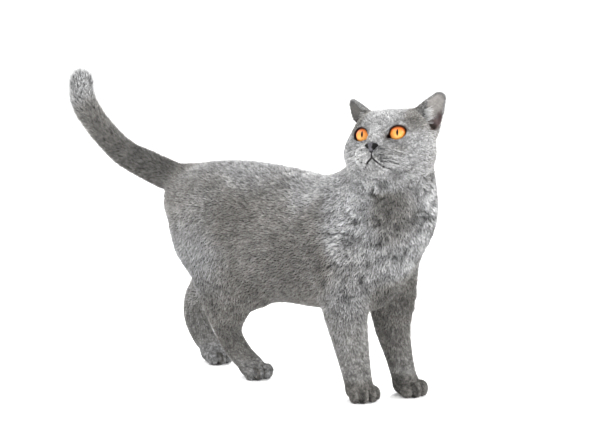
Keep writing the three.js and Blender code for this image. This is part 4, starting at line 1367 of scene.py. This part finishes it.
def ear_hair_paths():
    """Long pale hairs from each ear's inner edge, lying across its cup."""
    paths = []
    for side in (-1, 1):
        for _ in range(EAR_HAIRS[side]):
            up = rng.uniform(-1, 12)
            root = np.array([[rng.uniform(0, 5) - 0.57 * up, 0.0, up]])
            cup = lambda r: chain(r, EAR_CUP)
            for _ in range(3):
                d, g = slope(cup, root)
                root = root - g * (d / np.maximum((g * g).sum(1), 0.3))[:, None]
            way = unit(np.array([rng.uniform(0.6, 1.1), rng.uniform(0.2, 0.5), rng.uniform(0.1, 0.9)]))
            t = np.linspace(0, 1, 6)[:, None]
            path = root + way * t * rng.uniform(6, 12) + np.array([0, -1.5, 2.0]) * t**2
            paths.append(from_head(from_ear(path, side)))
    return paths


make_hairs("whiskers", whisker_paths(), WHISKER_RADIUS, hair_material("whisker", 0.42, 0.80))
make_hairs(
    "whisker_roots", whisker_root_paths(), WHISKER_ROOT_RADIUS, hair_material("whisker_root", 0.02, 0.03),
)
make_hairs("ear_hairs", ear_hair_paths(), EAR_HAIR_RADIUS, hair_material("ear_hair", 0.50, 0.75))


# ---- floor and light
FLOOR_RADIUS = 9
WORLD_LIGHT = 1.3


def make_floor():
    mesh = bpy.data.meshes.new("floor")
    spin = np.linspace(0, 2 * math.pi, 64, endpoint=False)
    ring = [(FLOOR_RADIUS * math.cos(a), FLOOR_RADIUS * math.sin(a), 0) for a in spin]
    mesh.from_pydata(ring, [], [list(range(64))])
    mesh.materials.append(floor_material())
    floor = add_object("floor", mesh)


def area_light(name, at, size, power, colour=(1, 1, 1)):
    data = bpy.data.lights.new(name, "AREA")
    data.shape = "DISK"
    data.size = size
    data.energy = power
    data.color = colour
    light = add_object(name, data)
    light.location = at
    aim = np.array([0, 0, 0.2]) - np.array(at)
    light.rotation_euler = (
        math.atan2(math.hypot(aim[0], aim[1]), -aim[2]), 0, math.atan2(-aim[0], aim[1]),
    )


def make_light():
    world = bpy.data.worlds.new("studio")
    world.use_nodes = True
    sky = world.node_tree.nodes["Background"].inputs
    sky["Color"].default_value = grey(1)
    sky["Strength"].default_value = WORLD_LIGHT
    bpy.context.scene.world = world
    area_light("key", (-1.2, -2.0, 2.8), 2.4, 64)
    area_light("front", (2.5, -0.6, 1.1), 0.8, 22)
    area_light("spark", (2.0, -1.45, 1.6), 0.25, 8)
    area_light("rear", (-2.6, -0.7, 1.7), 1.4, 26)
    area_light("back_left", (-0.6, 2.6, 1.7), 1.8, 105)
    area_light("back_right", (2.7, 1.5, 1.5), 1.6, 85)
    scene = bpy.context.scene
    scene.view_settings.view_transform = "Standard"
    scene.view_settings.look = "None"


make_floor()
make_light()
